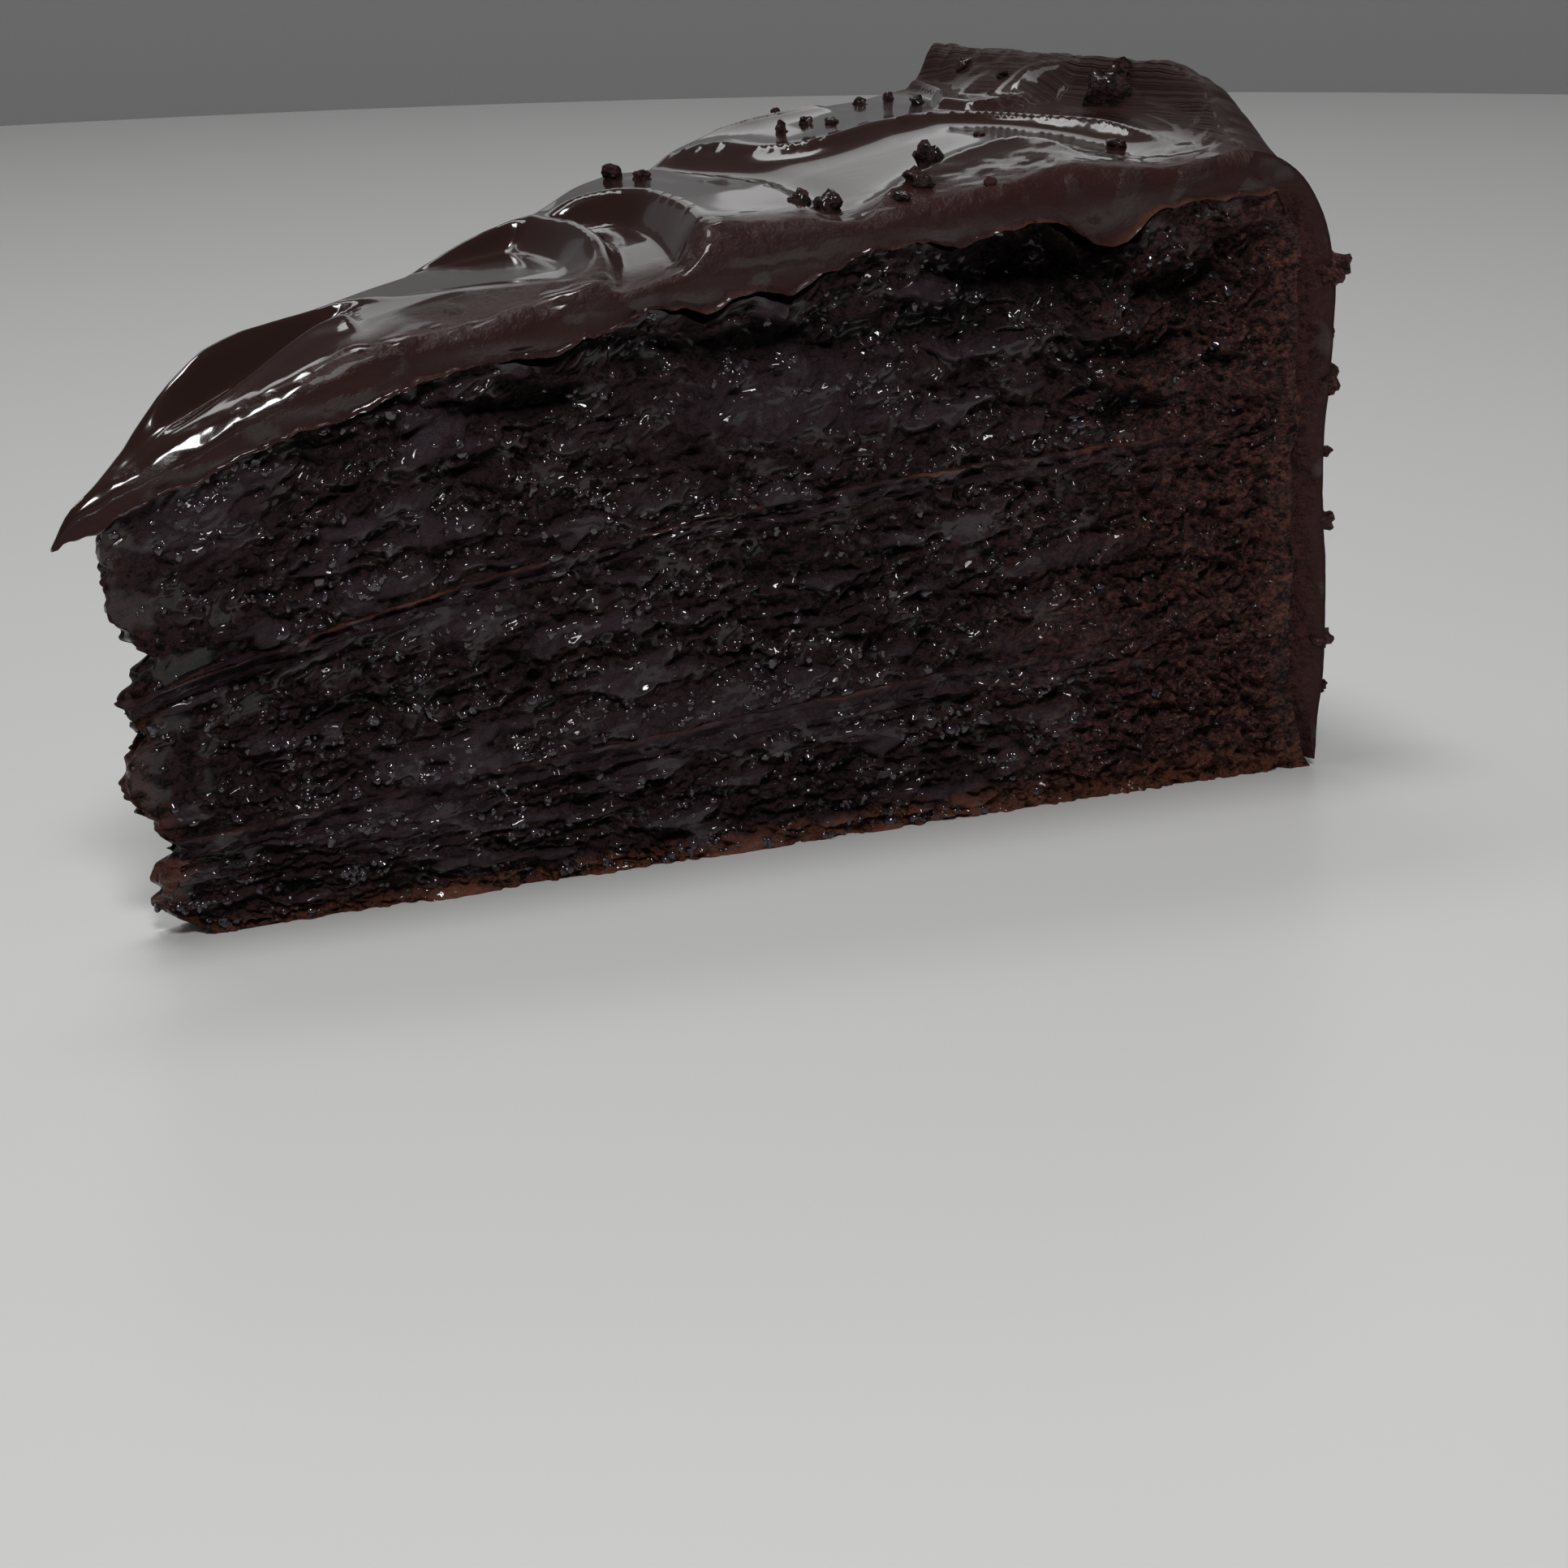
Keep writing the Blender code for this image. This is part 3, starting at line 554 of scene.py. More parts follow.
def surface_grid(shape):
    """Grid places on the outside of a block, and the quads between them."""
    outside = np.zeros(shape, bool)
    for axis in range(3):
        for side in (0, -1):
            index = [slice(None)] * 3
            index[axis] = side
            outside[tuple(index)] = True
    numbers = np.full(shape, -1)
    numbers[outside] = np.arange(outside.sum())
    quads = []
    for axis in range(3):
        for side in (0, -1):
            sheet = np.take(numbers, side, axis=axis)
            corners = np.stack([sheet[:-1, :-1], sheet[1:, :-1], sheet[1:, 1:],
                                sheet[:-1, 1:]], axis=-1).reshape(-1, 4)
            if (side == 0) != (axis == 1):
                corners = corners[:, ::-1]
            quads.append(corners)
    return np.nonzero(outside), np.concatenate(quads)


def make_piece(name, points, polygons, material, masks=None):
    """A smooth-shaded mesh object from arrays, with its masks as point attributes."""
    mesh = bpy.data.meshes.new(name)
    corners = polygons.shape[1]
    mesh.vertices.add(len(points))
    mesh.vertices.foreach_set("co", points.astype(np.float32).ravel())
    mesh.loops.add(polygons.size)
    mesh.loops.foreach_set("vertex_index", polygons.astype(np.int32).ravel())
    mesh.polygons.add(len(polygons))
    mesh.polygons.foreach_set("loop_start", np.arange(0, polygons.size, corners, dtype=np.int32))
    mesh.update(calc_edges=True)
    mesh.polygons.foreach_set("use_smooth", np.ones(len(polygons), bool))
    mesh.set_sharp_from_angle(angle=CORNER_ANGLE)
    for mask_name, values in (masks or {}).items():
        attribute = mesh.attributes.new(mask_name, "FLOAT", "POINT")
        attribute.data.foreach_set("value", values.astype(np.float32))
    mesh.materials.append(material)
    piece = bpy.data.objects.new(name, mesh)
    bpy.context.scene.collection.objects.link(piece)
    return piece


def place(radius, angle, height, sizes):
    """Points from their polar places in the whole cake."""
    return np.stack([sizes.centre_x + radius * np.cos(angle), radius * np.sin(angle),
                     height], axis=-1)


def inward(side, sizes):
    """Direction into the slice from the near cut (-1) or the far cut (1)."""
    half = sizes.wedge_angle / 2
    return np.array([math.sin(half), -side * math.cos(half), 0.0])


def oval(radius, height, spot, power=4.0):
    """1 inside a rounded oval on a cut face, 0 outside it."""
    middle, level, half_length, half_height = spot[:4]
    reach = (np.abs((radius - middle) / half_length) ** power
             + np.abs((height - level) / half_height) ** power)
    return np.exp(-reach)


def crumb_relief(points, radius, height, near, look):
    """Depth torn out of the crumb, in millimetres, and how far it is smeared smooth."""
    x, y, s = points.T

    def scaled(length, thickness):
        return np.stack([x / length, y / length, s / thickness], axis=1)

    bend = BEND * soft_noise(scaled(*BEND_LUMPS), look.seed)
    s = s + BEND_RISE * bend
    x = x + bend
    smear = smooth_step(0.16, 0.42, soft_noise(scaled(*SMEAR_LUMPS), look.seed + 1)
                        + 0.40 * soft_noise(scaled(*SMEAR_BREAKS), look.seed + 10))
    for spot in NEAR_SMEARS:
        smear = np.maximum(smear, near * oval(radius + 0.001 * bend, height + 0.0006 * bend,
                                              spot, 2.0))
    dry = smooth_step(*DRY_RADII, radius + 0.006 * soft_noise(scaled(*DRY_LUMPS), look.seed + 2)
                      - DRY_SHIFT * np.maximum(0.0, height - DRY_SHIFT_HEIGHT))
    smear = smear * (1.0 - 0.85 * dry)
    lumps = 0.5 + 0.5 * soft_noise(scaled(*BROAD_LUMPS), look.seed + 3)
    knobs = 0.5 + 0.5 * soft_noise(scaled(*KNOBS), look.seed + 11)
    tears = np.clip(1.0 - 2.6 * np.abs(soft_noise(scaled(*TEARS), look.seed + 4)), 0, 1)
    holes = cell_pits(scaled(*HOLES), look.seed + 5, HOLE_SHARE)
    pores = cell_pits(scaled(*PORES), look.seed + 6, PORE_SHARE)
    grains = smooth_step(0.20, 0.62, grain_lumps(scaled(*GRAINS), look.seed + 9))
    grain = soft_noise(scaled(*FINE_GRAINS), look.seed + 8)
    rough = (look.tear_depth * tears * (1.0 - 0.75 * dry) + look.hole_depth * holes
             + look.pore_depth * pores + look.grain_depth * grains * (1.0 + 0.35 * dry)
             + FINE_GRAIN_DEPTH * grain * (1.0 + 2.5 * dry) + KNOB_DEPTH * knobs)
    cave = np.zeros_like(radius)
    for spot in NEAR_PITS:
        hole = oval(radius + 0.0016 * bend, height + 0.0010 * bend, spot, 3.0)
        cave = np.maximum(cave, near * MM * spot[4] * hole)
    smear = smear * smooth_step(1.6, 0.4, cave)
    depth = look.lump_depth * lumps + rough * (1.0 - SMOOTHED * smear) + 0.04 * grain + cave
    # The last value, the hollow mask, is painted shade: the deeper a place is torn, the darker
    # its colour is drawn.
    return depth, smear, dry, smooth_step(0.9, 3.2, depth)


def layer_surface(sizes, cuts, floor_surface, roof_surface):
    """The smooth surface of one layer before it is torn: places on it and its quads."""
    shape = tuple(cut + 1 for cut in cuts)
    (i, j, k), quads = surface_grid(shape)
    share = i / cuts[0]
    across = 2.0 * j / cuts[1] - 1.0
    level = k / cuts[2]
    low = height_on(floor_surface, share, across, sizes)
    high = height_on(roof_surface, share, across, sizes)
    height = low + (high - low) * level
    radius = sponge_radius(share, height, sizes)
    angle = across * sizes.wedge_angle / 2
    sides = {"near": (j == 0) * 1.0, "far": (j == cuts[1]) * 1.0, "tip": (i == 0) * 1.0}
    return radius, angle, height, level, share, sides, quads


def tear(sizes, look, radius, angle, height, level, share, sides, layer_number, span=0.0100):
    """Move the surface in where the crumb is torn, and say what each point is like."""
    points = place(radius, angle, height, sizes)
    seen = np.maximum(np.maximum(sides["near"], sides["far"]), sides["tip"])
    along = np.stack([points[:, 0] * MM, points[:, 1] * MM,
                      (height * PATTERN_SQUASH + level * span + layer_number * LAYER_STEP)
                      * MM], axis=1)
    depth, smear, dry, hollow = crumb_relief(along, radius, height, sides["near"], look)
    edge = 0.60 + 0.40 * np.sin(math.pi * np.clip(level, 0.0, 1.0)) ** 0.5
    narrow = np.clip(radius * math.tan(sizes.wedge_angle / 2) * 0.50 * MM, 0.15, 9.0)
    beside = smooth_step(*BOUNDARY_SHARES, share)
    depth = depth * edge * (1.0 - beside) + BOUNDARY_DEPTH * beside
    depth = np.minimum(depth, narrow) * seen / MM
    start = tip_radius(height)
    ragged = (0.9 * soft_noise(points * MM / 2.0, look.seed + 30)
              + 0.5 * soft_noise(points * MM / 0.85, look.seed + 31)
              + 0.6 * grain_lumps(points * MM / 1.1, look.seed + 32))
    pull = (0.2 + np.maximum(0.0, ragged + 0.2)) * np.exp(
        -(radius - start) / TIP_PULL_REACH) / MM
    pull *= 0.4 + 0.6 * seen
    points = (points + np.outer(depth * sides["near"], inward(-1, sizes))
              + np.outer(depth * sides["far"], inward(1, sizes))
              + np.outer(pull, (1.0, 0.0, 0.0)))
    # The hollow mask is painted shade on the seen faces: deep torn places are drawn darker.
    return points, {"smear": smear, "dry": dry, "hollow": hollow * seen}


def principled(material):
    """The material's own shader."""
    return material.node_tree.nodes["Principled BSDF"]


def new_material(name):
    """A node material with nothing set yet."""
    material = bpy.data.materials.new(name)
    material.use_nodes = True
    return material


def new_group(name, inputs, outputs):
    """An empty shader group with named float or colour sockets."""
    group = bpy.data.node_groups.new(name, "ShaderNodeTree")
    for socket_name, kind, default in inputs:
        socket = group.interface.new_socket(socket_name, in_out="INPUT", socket_type=kind)
        socket.default_value = default
    for socket_name, kind in outputs:
        group.interface.new_socket(socket_name, in_out="OUTPUT", socket_type=kind)
    return group, group.nodes.new("NodeGroupInput"), group.nodes.new("NodeGroupOutput")


def add_math(tree, operation, first, second, clamp=False):
    """A math node; its inputs are sockets or numbers."""
    node = tree.nodes.new("ShaderNodeMath")
    node.operation = operation
    node.use_clamp = clamp
    for socket, value in zip(node.inputs, (first, second)):
        if isinstance(value, (int, float)):
            socket.default_value = value
        else:
            tree.links.new(value, socket)
    return node.outputs[0]


def add_weighted(tree, start, parts, clamp=False):
    """A number plus several values, each times its weight."""
    total = start
    for number, (value, weight) in enumerate(parts, start=1):
        part = add_math(tree, "MULTIPLY", value, weight)
        total = add_math(tree, "ADD", total, part, clamp and number == len(parts))
    return total


def add_mix(tree, share, first, second, blend="MIX"):
    """A colour mix; its inputs are sockets, numbers or colours."""
    node = tree.nodes.new("ShaderNodeMix")
    node.data_type = "RGBA"
    node.blend_type = blend
    sockets = (node.inputs["Factor"], node.inputs[6], node.inputs[7])
    for socket, value in zip(sockets, (share, first, second)):
        if isinstance(value, bpy.types.NodeSocket):
            tree.links.new(value, socket)
        elif isinstance(value, (int, float)):
            socket.default_value = value
        else:
            socket.default_value = (*value, 1.0)
    return node.outputs[2]


def add_mask(tree, name):
    """The value of one of the mesh's masks."""
    node = tree.nodes.new("ShaderNodeAttribute")
    node.attribute_name = name
    return node.outputs["Fac"]


def fine_grain_group():
    """Fine uneven grain in real scale: bump height, painted shade between grains, masks for
    colour and wet.
    """
    found = bpy.data.node_groups.get("fine_grain")
    if found:
        return found
    tree, entry, exit_node = new_group(
        "fine_grain",
        [("Grains per mm", "NodeSocketFloat", 2.0), ("Flatness", "NodeSocketFloat", 1.0)],
        [("Height", "NodeSocketFloat"), ("Crack", "NodeSocketFloat"),
         ("Mask", "NodeSocketFloat"), ("Wet", "NodeSocketFloat"),
         ("Grain", "NodeSocketFloat"), ("Grit", "NodeSocketFloat")])
    place_node = tree.nodes.new("ShaderNodeTexCoord")
    squash = tree.nodes.new("ShaderNodeCombineXYZ")
    squash.inputs[0].default_value = 1.0
    squash.inputs[1].default_value = 1.0
    tree.links.new(entry.outputs["Flatness"], squash.inputs[2])
    stretch = tree.nodes.new("ShaderNodeVectorMath")
    stretch.operation = "MULTIPLY"
    tree.links.new(place_node.outputs["Object"], stretch.inputs[0])
    tree.links.new(squash.outputs[0], stretch.inputs[1])
    spot = stretch.outputs[0]
    scale = add_math(tree, "MULTIPLY", entry.outputs["Grains per mm"], MM)
    fine = add_noise(tree, spot, add_math(tree, "MULTIPLY", scale, 2.2), 3.0, 0.7)
    coarse = add_noise(tree, spot, add_math(tree, "MULTIPLY", scale, 0.8), 5.0, 0.66)
    grit = add_noise(tree, spot, add_math(tree, "MULTIPLY", scale, 4.5), 1.0, 0.5)
    warp = tree.nodes.new("ShaderNodeTexNoise")
    tree.links.new(spot, warp.inputs["Vector"])
    tree.links.new(scale, warp.inputs["Scale"])
    shift = tree.nodes.new("ShaderNodeVectorMath")
    shift.operation = "SCALE"
    shift.inputs["Scale"].default_value = 1.1 / MM
    tree.links.new(warp.outputs["Color"], shift.inputs[0])
    moved = tree.nodes.new("ShaderNodeVectorMath")
    moved.operation = "ADD"
    tree.links.new(spot, moved.inputs[0])
    tree.links.new(shift.outputs[0], moved.inputs[1])
    cells = tree.nodes.new("ShaderNodeTexVoronoi")
    tree.links.new(moved.outputs[0], cells.inputs["Vector"])
    tree.links.new(scale, cells.inputs["Scale"])
    distance = cells.outputs["Distance"]
    # Painted shade: darkest in the cracks between the cells and in the low pits of the noise,
    # where the bump height is low; it darkens the colour, not the shape.
    gap_shade = add_math(tree, "SUBTRACT", add_math(tree, "SUBTRACT", distance, fine), 0.06)
    mixed = add_weighted(tree, 0.0, ((coarse, 0.55), (fine, 0.45)))
    pits = add_math(tree, "MULTIPLY", add_math(tree, "SUBTRACT", 0.480, mixed), 18.0, True)
    crack_shade = add_math(tree, "ADD", add_math(tree, "MULTIPLY", gap_shade, 2.4, True), pits, True)
    height = add_weighted(tree, 0.0, ((fine, 1.2), (coarse, 3.2)))
    height = add_math(tree, "SUBTRACT", height, distance)
    broad = add_noise(tree, spot, add_math(tree, "MULTIPLY", scale, 0.25), 2.0, 0.5)
    streaks = add_noise(tree, spot, add_math(tree, "MULTIPLY", scale, 0.24), 2.0, 0.6)
    wet = add_math(tree, "MULTIPLY", add_math(tree, "SUBTRACT", streaks, 0.47), 9.0, True)
    for name, value in (("Height", height), ("Crack", crack_shade), ("Mask", broad), ("Wet", wet),
                        ("Grain", mixed), ("Grit", grit)):
        tree.links.new(value, exit_node.inputs[name])
    return tree


def add_noise(tree, vector, scale, detail, roughness):
    """The value of a noise at the scale given by a socket."""
    noise = tree.nodes.new("ShaderNodeTexNoise")
    noise.inputs["Detail"].default_value = detail
    noise.inputs["Roughness"].default_value = roughness
    tree.links.new(vector, noise.inputs["Vector"])
    tree.links.new(scale, noise.inputs["Scale"])
    return noise.outputs["Fac"]


def add_group(tree, group, **values):
    """Place a shader group and set its inputs."""
    node = tree.nodes.new("ShaderNodeGroup")
    node.node_tree = group
    for name, value in values.items():
        node.inputs[name.replace("_", " ")].default_value = value
    return node


def add_bump(tree, height, strength, distance, normal=None):
    """A bump from a height, in metres."""
    bump = tree.nodes.new("ShaderNodeBump")
    bump.inputs["Strength"].default_value = strength
    bump.inputs["Distance"].default_value = distance
    tree.links.new(height, bump.inputs["Height"])
    if normal:
        tree.links.new(normal, bump.inputs["Normal"])
    return bump.outputs["Normal"]


def crumb_material(name, look):
    """Moist dark crumb: wet where smeared, redder and drier to the outside."""
    found = bpy.data.materials.get(name)
    if found:
        return found
    material = new_material(name)
    tree = material.node_tree
    shader = principled(material)
    smear = add_mask(tree, "smear")
    dry = add_mask(tree, "dry")
    grain = add_group(tree, fine_grain_group(), Grains_per_mm=GRAINS_PER_MM,
                      Flatness=GRAIN_FLATNESS)
    mottle = grain.outputs["Mask"]
    rough_share = add_weighted(tree, 1.0, ((smear, -0.8),))
    dry_share = add_math(tree, "MULTIPLY", dry, add_math(tree, "ADD", mottle, 0.45), True)
    colour = add_mix(tree, dry_share, look.moist, look.dry)
    colour = add_mix(tree, add_math(tree, "MULTIPLY", smear, 0.75), colour, look.smeared)
    flecks = add_math(tree, "MULTIPLY", add_math(tree, "SUBTRACT", grain.outputs["Grain"],
                                                 0.510), 14.0, True)
    flecks = add_math(tree, "MULTIPLY", flecks, add_math(tree, "MULTIPLY", dry, 0.85))
    colour = add_mix(tree, flecks, colour, look.fleck)
    # The crust mask is baked crust on the sponge and a painted highlight along the top edge of
    # the fillings.
    colour = add_mix(tree, add_mask(tree, "crust"), colour, look.crust)
    shade = add_weighted(tree, 0.55, ((mottle, 0.9),))
    colour = add_mix(tree, 1.0, colour, shade, "MULTIPLY")
    # Painted shade: the colour is darkened in the cracks between grains, and by the hollow mask,
    # which is painted shade in the deep torn places of the sponge and the fallen crumbs' own
    # darker tone.
    cracks = add_math(tree, "MULTIPLY", grain.outputs["Crack"], rough_share)
    dark = add_weighted(tree, 0.0, ((cracks, 0.82), (add_mask(tree, "hollow"), 0.55)), True)
    colour = add_mix(tree, 1.0, colour, add_math(tree, "SUBTRACT", 1.0, dark), "MULTIPLY")
    tree.links.new(colour, shader.inputs["Base Color"])
    rough = add_weighted(tree, 0.75, ((smear, -0.30),), True)
    tree.links.new(rough, shader.inputs["Roughness"])
    shader.inputs["Specular IOR Level"].default_value = 0.16
    wet = add_math(tree, "MULTIPLY", grain.outputs["Wet"],
                   add_weighted(tree, 1.0, ((dry, -0.85),)))
    wet = add_math(tree, "MULTIPLY", wet, 0.80, True)
    tree.links.new(wet, shader.inputs["Coat Weight"])
    shader.inputs["Coat Roughness"].default_value = 0.08
    height = add_math(tree, "MULTIPLY", grain.outputs["Height"], rough_share)
    height = add_math(tree, "ADD", height, add_math(tree, "MULTIPLY", wet, add_math(
        tree, "MULTIPLY", grain.outputs["Grit"], 1.1)))
    normal = add_bump(tree, height, 1.0, CRUMB_BUMP)
    tree.links.new(normal, shader.inputs["Normal"])
    return material


def wet_material(look):
    """Wet grains of crumb that catch the light."""
    found = bpy.data.materials.get("wet_crumb_grain")
    if found:
        return found
    material = new_material("wet_crumb_grain")
    shader = principled(material)
    shader.inputs["Base Color"].default_value = (*look.smeared, 1.0)
    shader.inputs["Roughness"].default_value = 0.05
    shader.inputs["Specular IOR Level"].default_value = 1.0
    return material


def frosting_material(look, dry_crumb):
    """Glossy chocolate frosting with fine spatula lines, dull where the knife dragged."""
    material = new_material("glossy_chocolate_frosting")
    tree = material.node_tree
    shader = principled(material)
    cut = add_mask(tree, "cut")
    fringe = add_mask(tree, "fringe")
    streak = add_mask(tree, "streak")
    comb = add_mask(tree, "comb")
    crumby = add_mask(tree, "crumby")
    smudge = add_mask(tree, "smudge")
    grain = add_group(tree, fine_grain_group(), Grains_per_mm=GRAINS_PER_MM,
                      Flatness=GRAIN_FLATNESS)
    mottle = grain.outputs["Mask"]
    colour = add_mix(tree, cut, look.frosting, look.cut_frosting)
    colour = add_mix(tree, add_math(tree, "MULTIPLY", comb, 0.5), colour, look.combed)
    colour = add_mix(tree, fringe, colour, look.fringe)
    colour = add_mix(tree, crumby, colour, dry_crumb)
    shade = add_weighted(tree, 0.72, ((mottle, 0.55),))
    # Painted shade: where crumb is dragged onto the frosting, the cracks between its grains are
    # drawn darker.
    cracks = add_math(tree, "MULTIPLY", add_math(tree, "MULTIPLY", grain.outputs["Crack"],
                                                 crumby), 0.7)
    shade = add_math(tree, "SUBTRACT", shade, cracks, True)
    colour = add_mix(tree, 1.0, colour, shade, "MULTIPLY")
    tree.links.new(colour, shader.inputs["Base Color"])
    lines = tree.nodes.new("ShaderNodeTexNoise")
    lines.noise_dimensions = "1D"
    lines.inputs["Detail"].default_value = 3.0
    lines.inputs["Roughness"].default_value = 0.6
    lines.inputs["Scale"].default_value = 1.0
    tree.links.new(add_math(tree, "MULTIPLY", streak, 1800.0), lines.inputs["W"])
    rough = add_weighted(tree, 0.13, ((cut, 0.12), (mottle, 0.08), (crumby, 0.45),
                                      (comb, 0.32)), True)
    tree.links.new(rough, shader.inputs["Roughness"])
    ridges = add_math(tree, "MULTIPLY", lines.outputs["Fac"],
                      add_weighted(tree, 0.12, ((comb, 2.2),)))
    grainy = add_weighted(tree, 0.0, ((cut, 0.25), (crumby, 1.6), (smudge, 1.3)))
    height = add_math(tree, "ADD", ridges,
                      add_math(tree, "MULTIPLY", grain.outputs["Height"], grainy))
    tree.links.new(add_bump(tree, height, 0.8, FROSTING_BUMP), shader.inputs["Normal"])
    shader.inputs["Specular IOR Level"].default_value = 0.12
    dull = add_weighted(tree, 0.0, ((cut, 0.84), (comb, 0.84), (smudge, -0.80)), True)
    coat = add_math(tree, "SUBTRACT", 0.90, add_math(tree, "ADD", dull, crumby), True)
    tree.links.new(coat, shader.inputs["Coat Weight"])
    shader.inputs["Coat Roughness"].default_value = 0.07
    return material


def finish_piece(piece, node):
    """Tie a finished piece to the model, in the place of a node."""
    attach(piece, BODY)
    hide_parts(node)


class CAKE_OT_sponge_layers(Operator):
    """Build the three layers of sponge with their torn crumb"""
    bl_idname = "cake.sponge_layers"
    bl_label = "Make the sponge layers"

    def execute(self, context):
        sizes = context.scene.cake_sizes
        look = context.scene.sponge_look
        material = crumb_material("moist_chocolate_crumb", look)

        def base(radius, across):
            return np.zeros_like(radius + across)

        def bottom_roof(radius, across):
            return filling_bottom(LOWER_FILLING_TOP, sizes.lower_filling, radius, across,
                                  sizes) - GAP

        def middle_floor(radius, across):
            return wavy_line(LOWER_FILLING_TOP, radius, across, sizes) + GAP

        def middle_roof(radius, across):
            return filling_bottom(UPPER_FILLING_TOP, sizes.upper_filling, radius, across,
                                  sizes) - GAP

        def top_floor(radius, across):
            return wavy_line(UPPER_FILLING_TOP, radius, across, sizes) + GAP

        def top_roof(radius, across):
            line = wavy_line(TOP_SPONGE_TOP, radius, across, sizes, EDGE_WILDNESS)
            return line - top_hollow(radius, across)

        layers = (("bottom", BOTTOM_SPONGE_CUTS, base, bottom_roof),
                  ("middle", MIDDLE_SPONGE_CUTS, middle_floor, middle_roof),
                  ("top", TOP_SPONGE_CUTS, top_floor, top_roof))
        for number, (name, cuts, floor_surface, roof_surface) in enumerate(layers):
            radius, angle, height, level, share, sides, quads = layer_surface(
                sizes, cuts, floor_surface, roof_surface)
            points, masks = tear(sizes, look, radius, angle, height, level, share, sides,
                                 number)
            masks["crust"] = crust_mask(points, radius, height, share, look, name)
            piece = make_piece(f"{name}_sponge_crumb", points, quads, material, masks)
            finish_piece(piece, f"sponge_{name}")
            beads, faces = wet_beads(sizes, look, points, level, sides, masks, number)
            drops, drop_faces = wet_drops(sizes, look, points, radius, height, sides)
            faces = np.concatenate([faces, drop_faces + len(beads)])
            beads = np.concatenate([beads, drops])
            piece = make_piece(f"{name}_wet_grains", beads, faces, wet_material(look))
            finish_piece(piece, f"sponge_{name}")
        return {"FINISHED"}


def wet_beads(sizes, look, points, level, sides, masks, number):
    """Small wet grains on the torn faces, thickest in streaks along the layers."""
    chooser = np.random.default_rng(look.seed + number)
    streaks = soft_noise(points * MM / BEAD_STREAKS, look.seed + 50 + number)
    knots = soft_noise(points * MM / BEAD_KNOTS, look.seed + 60 + number)
    low = 0.55 * np.exp(-level / 0.08) * (number > 0)
    chance = smooth_step(-0.05, 0.75, streaks + 0.6 * knots + low)
    chance = chance * (1.0 - 0.93 * masks["dry"]) * (1.0 - 0.5 * masks["hollow"])
    chance = chance * (level > 0.02) * (level < 0.98)
    centres, widths = [], []
    for side_name, side in (("near", -1), ("far", 1)):
        found = np.nonzero(sides[side_name])[0]
        weight = chance[found] / chance[found].sum()
        picked = chooser.choice(found, look.grain_count // 2, replace=False, p=weight)
        size = chooser.uniform(*BEAD_SIZES, len(picked)) / MM
        centres.append(points[picked] + np.outer(BEAD_SINK * size, inward(side, sizes)))
        widths.append(size)
    return lump_arrays(np.concatenate(centres), np.concatenate(widths), look.seed, 2, 1.3)


def wet_drops(sizes, look, points, radius, height, sides):
    """Larger smooth drops lying along the layers where the near cut is wettest."""
    near = np.nonzero(sides["near"])[0]
    ball, ball_faces = icosphere(3)
    half = sizes.wedge_angle / 2
    drops, faces = [], []
    for number, (drop_radius, drop_height, length) in enumerate(WET_DROPS):
        away = np.hypot(radius[near] - drop_radius, height[near] - drop_height)
        if away.min() > DROP_REACH:
            continue
        centre = points[near[np.argmin(away)]]
        swell = 1.0 + 0.30 * soft_noise(ball * 2.0 + 7.3 * number, look.seed + 70)
        long, thick, tall = (ball * swell[:, None] * DROP_SHAPE * length).T
        turned = np.stack([long * math.cos(half) + thick * math.sin(half),
                           thick * math.cos(half) - long * math.sin(half),
                           tall + 0.12 * long], axis=1)
        faces.append(ball_faces + len(ball) * len(drops))
        drops.append(turned + centre)
    if not drops:
        return np.zeros((0, 3)), np.zeros((0, 3), int)
    return np.concatenate(drops), np.concatenate(faces)


def crust_mask(points, radius, height, share, look, name):
    """Baked crust along the base and thin reddish edges at the tip."""
    ragged = soft_noise(points * MM / np.array([2.2, 2.2, 1.3]), look.seed + 20)
    tip = smooth_step(0.0026, 0.0002, radius - tip_radius(height) + 0.0012 * ragged)
    if name == "top":
        return 0.15 * tip
    if name == "middle":
        return 0.45 * tip
    thick = 0.0016 + 0.0012 * smooth_step(0.030, 0.085, radius)
    base = smooth_step(1.0, 0.25, (height + 0.0009 * ragged) / thick)
    return np.maximum(0.55 * tip, 0.85 * base)


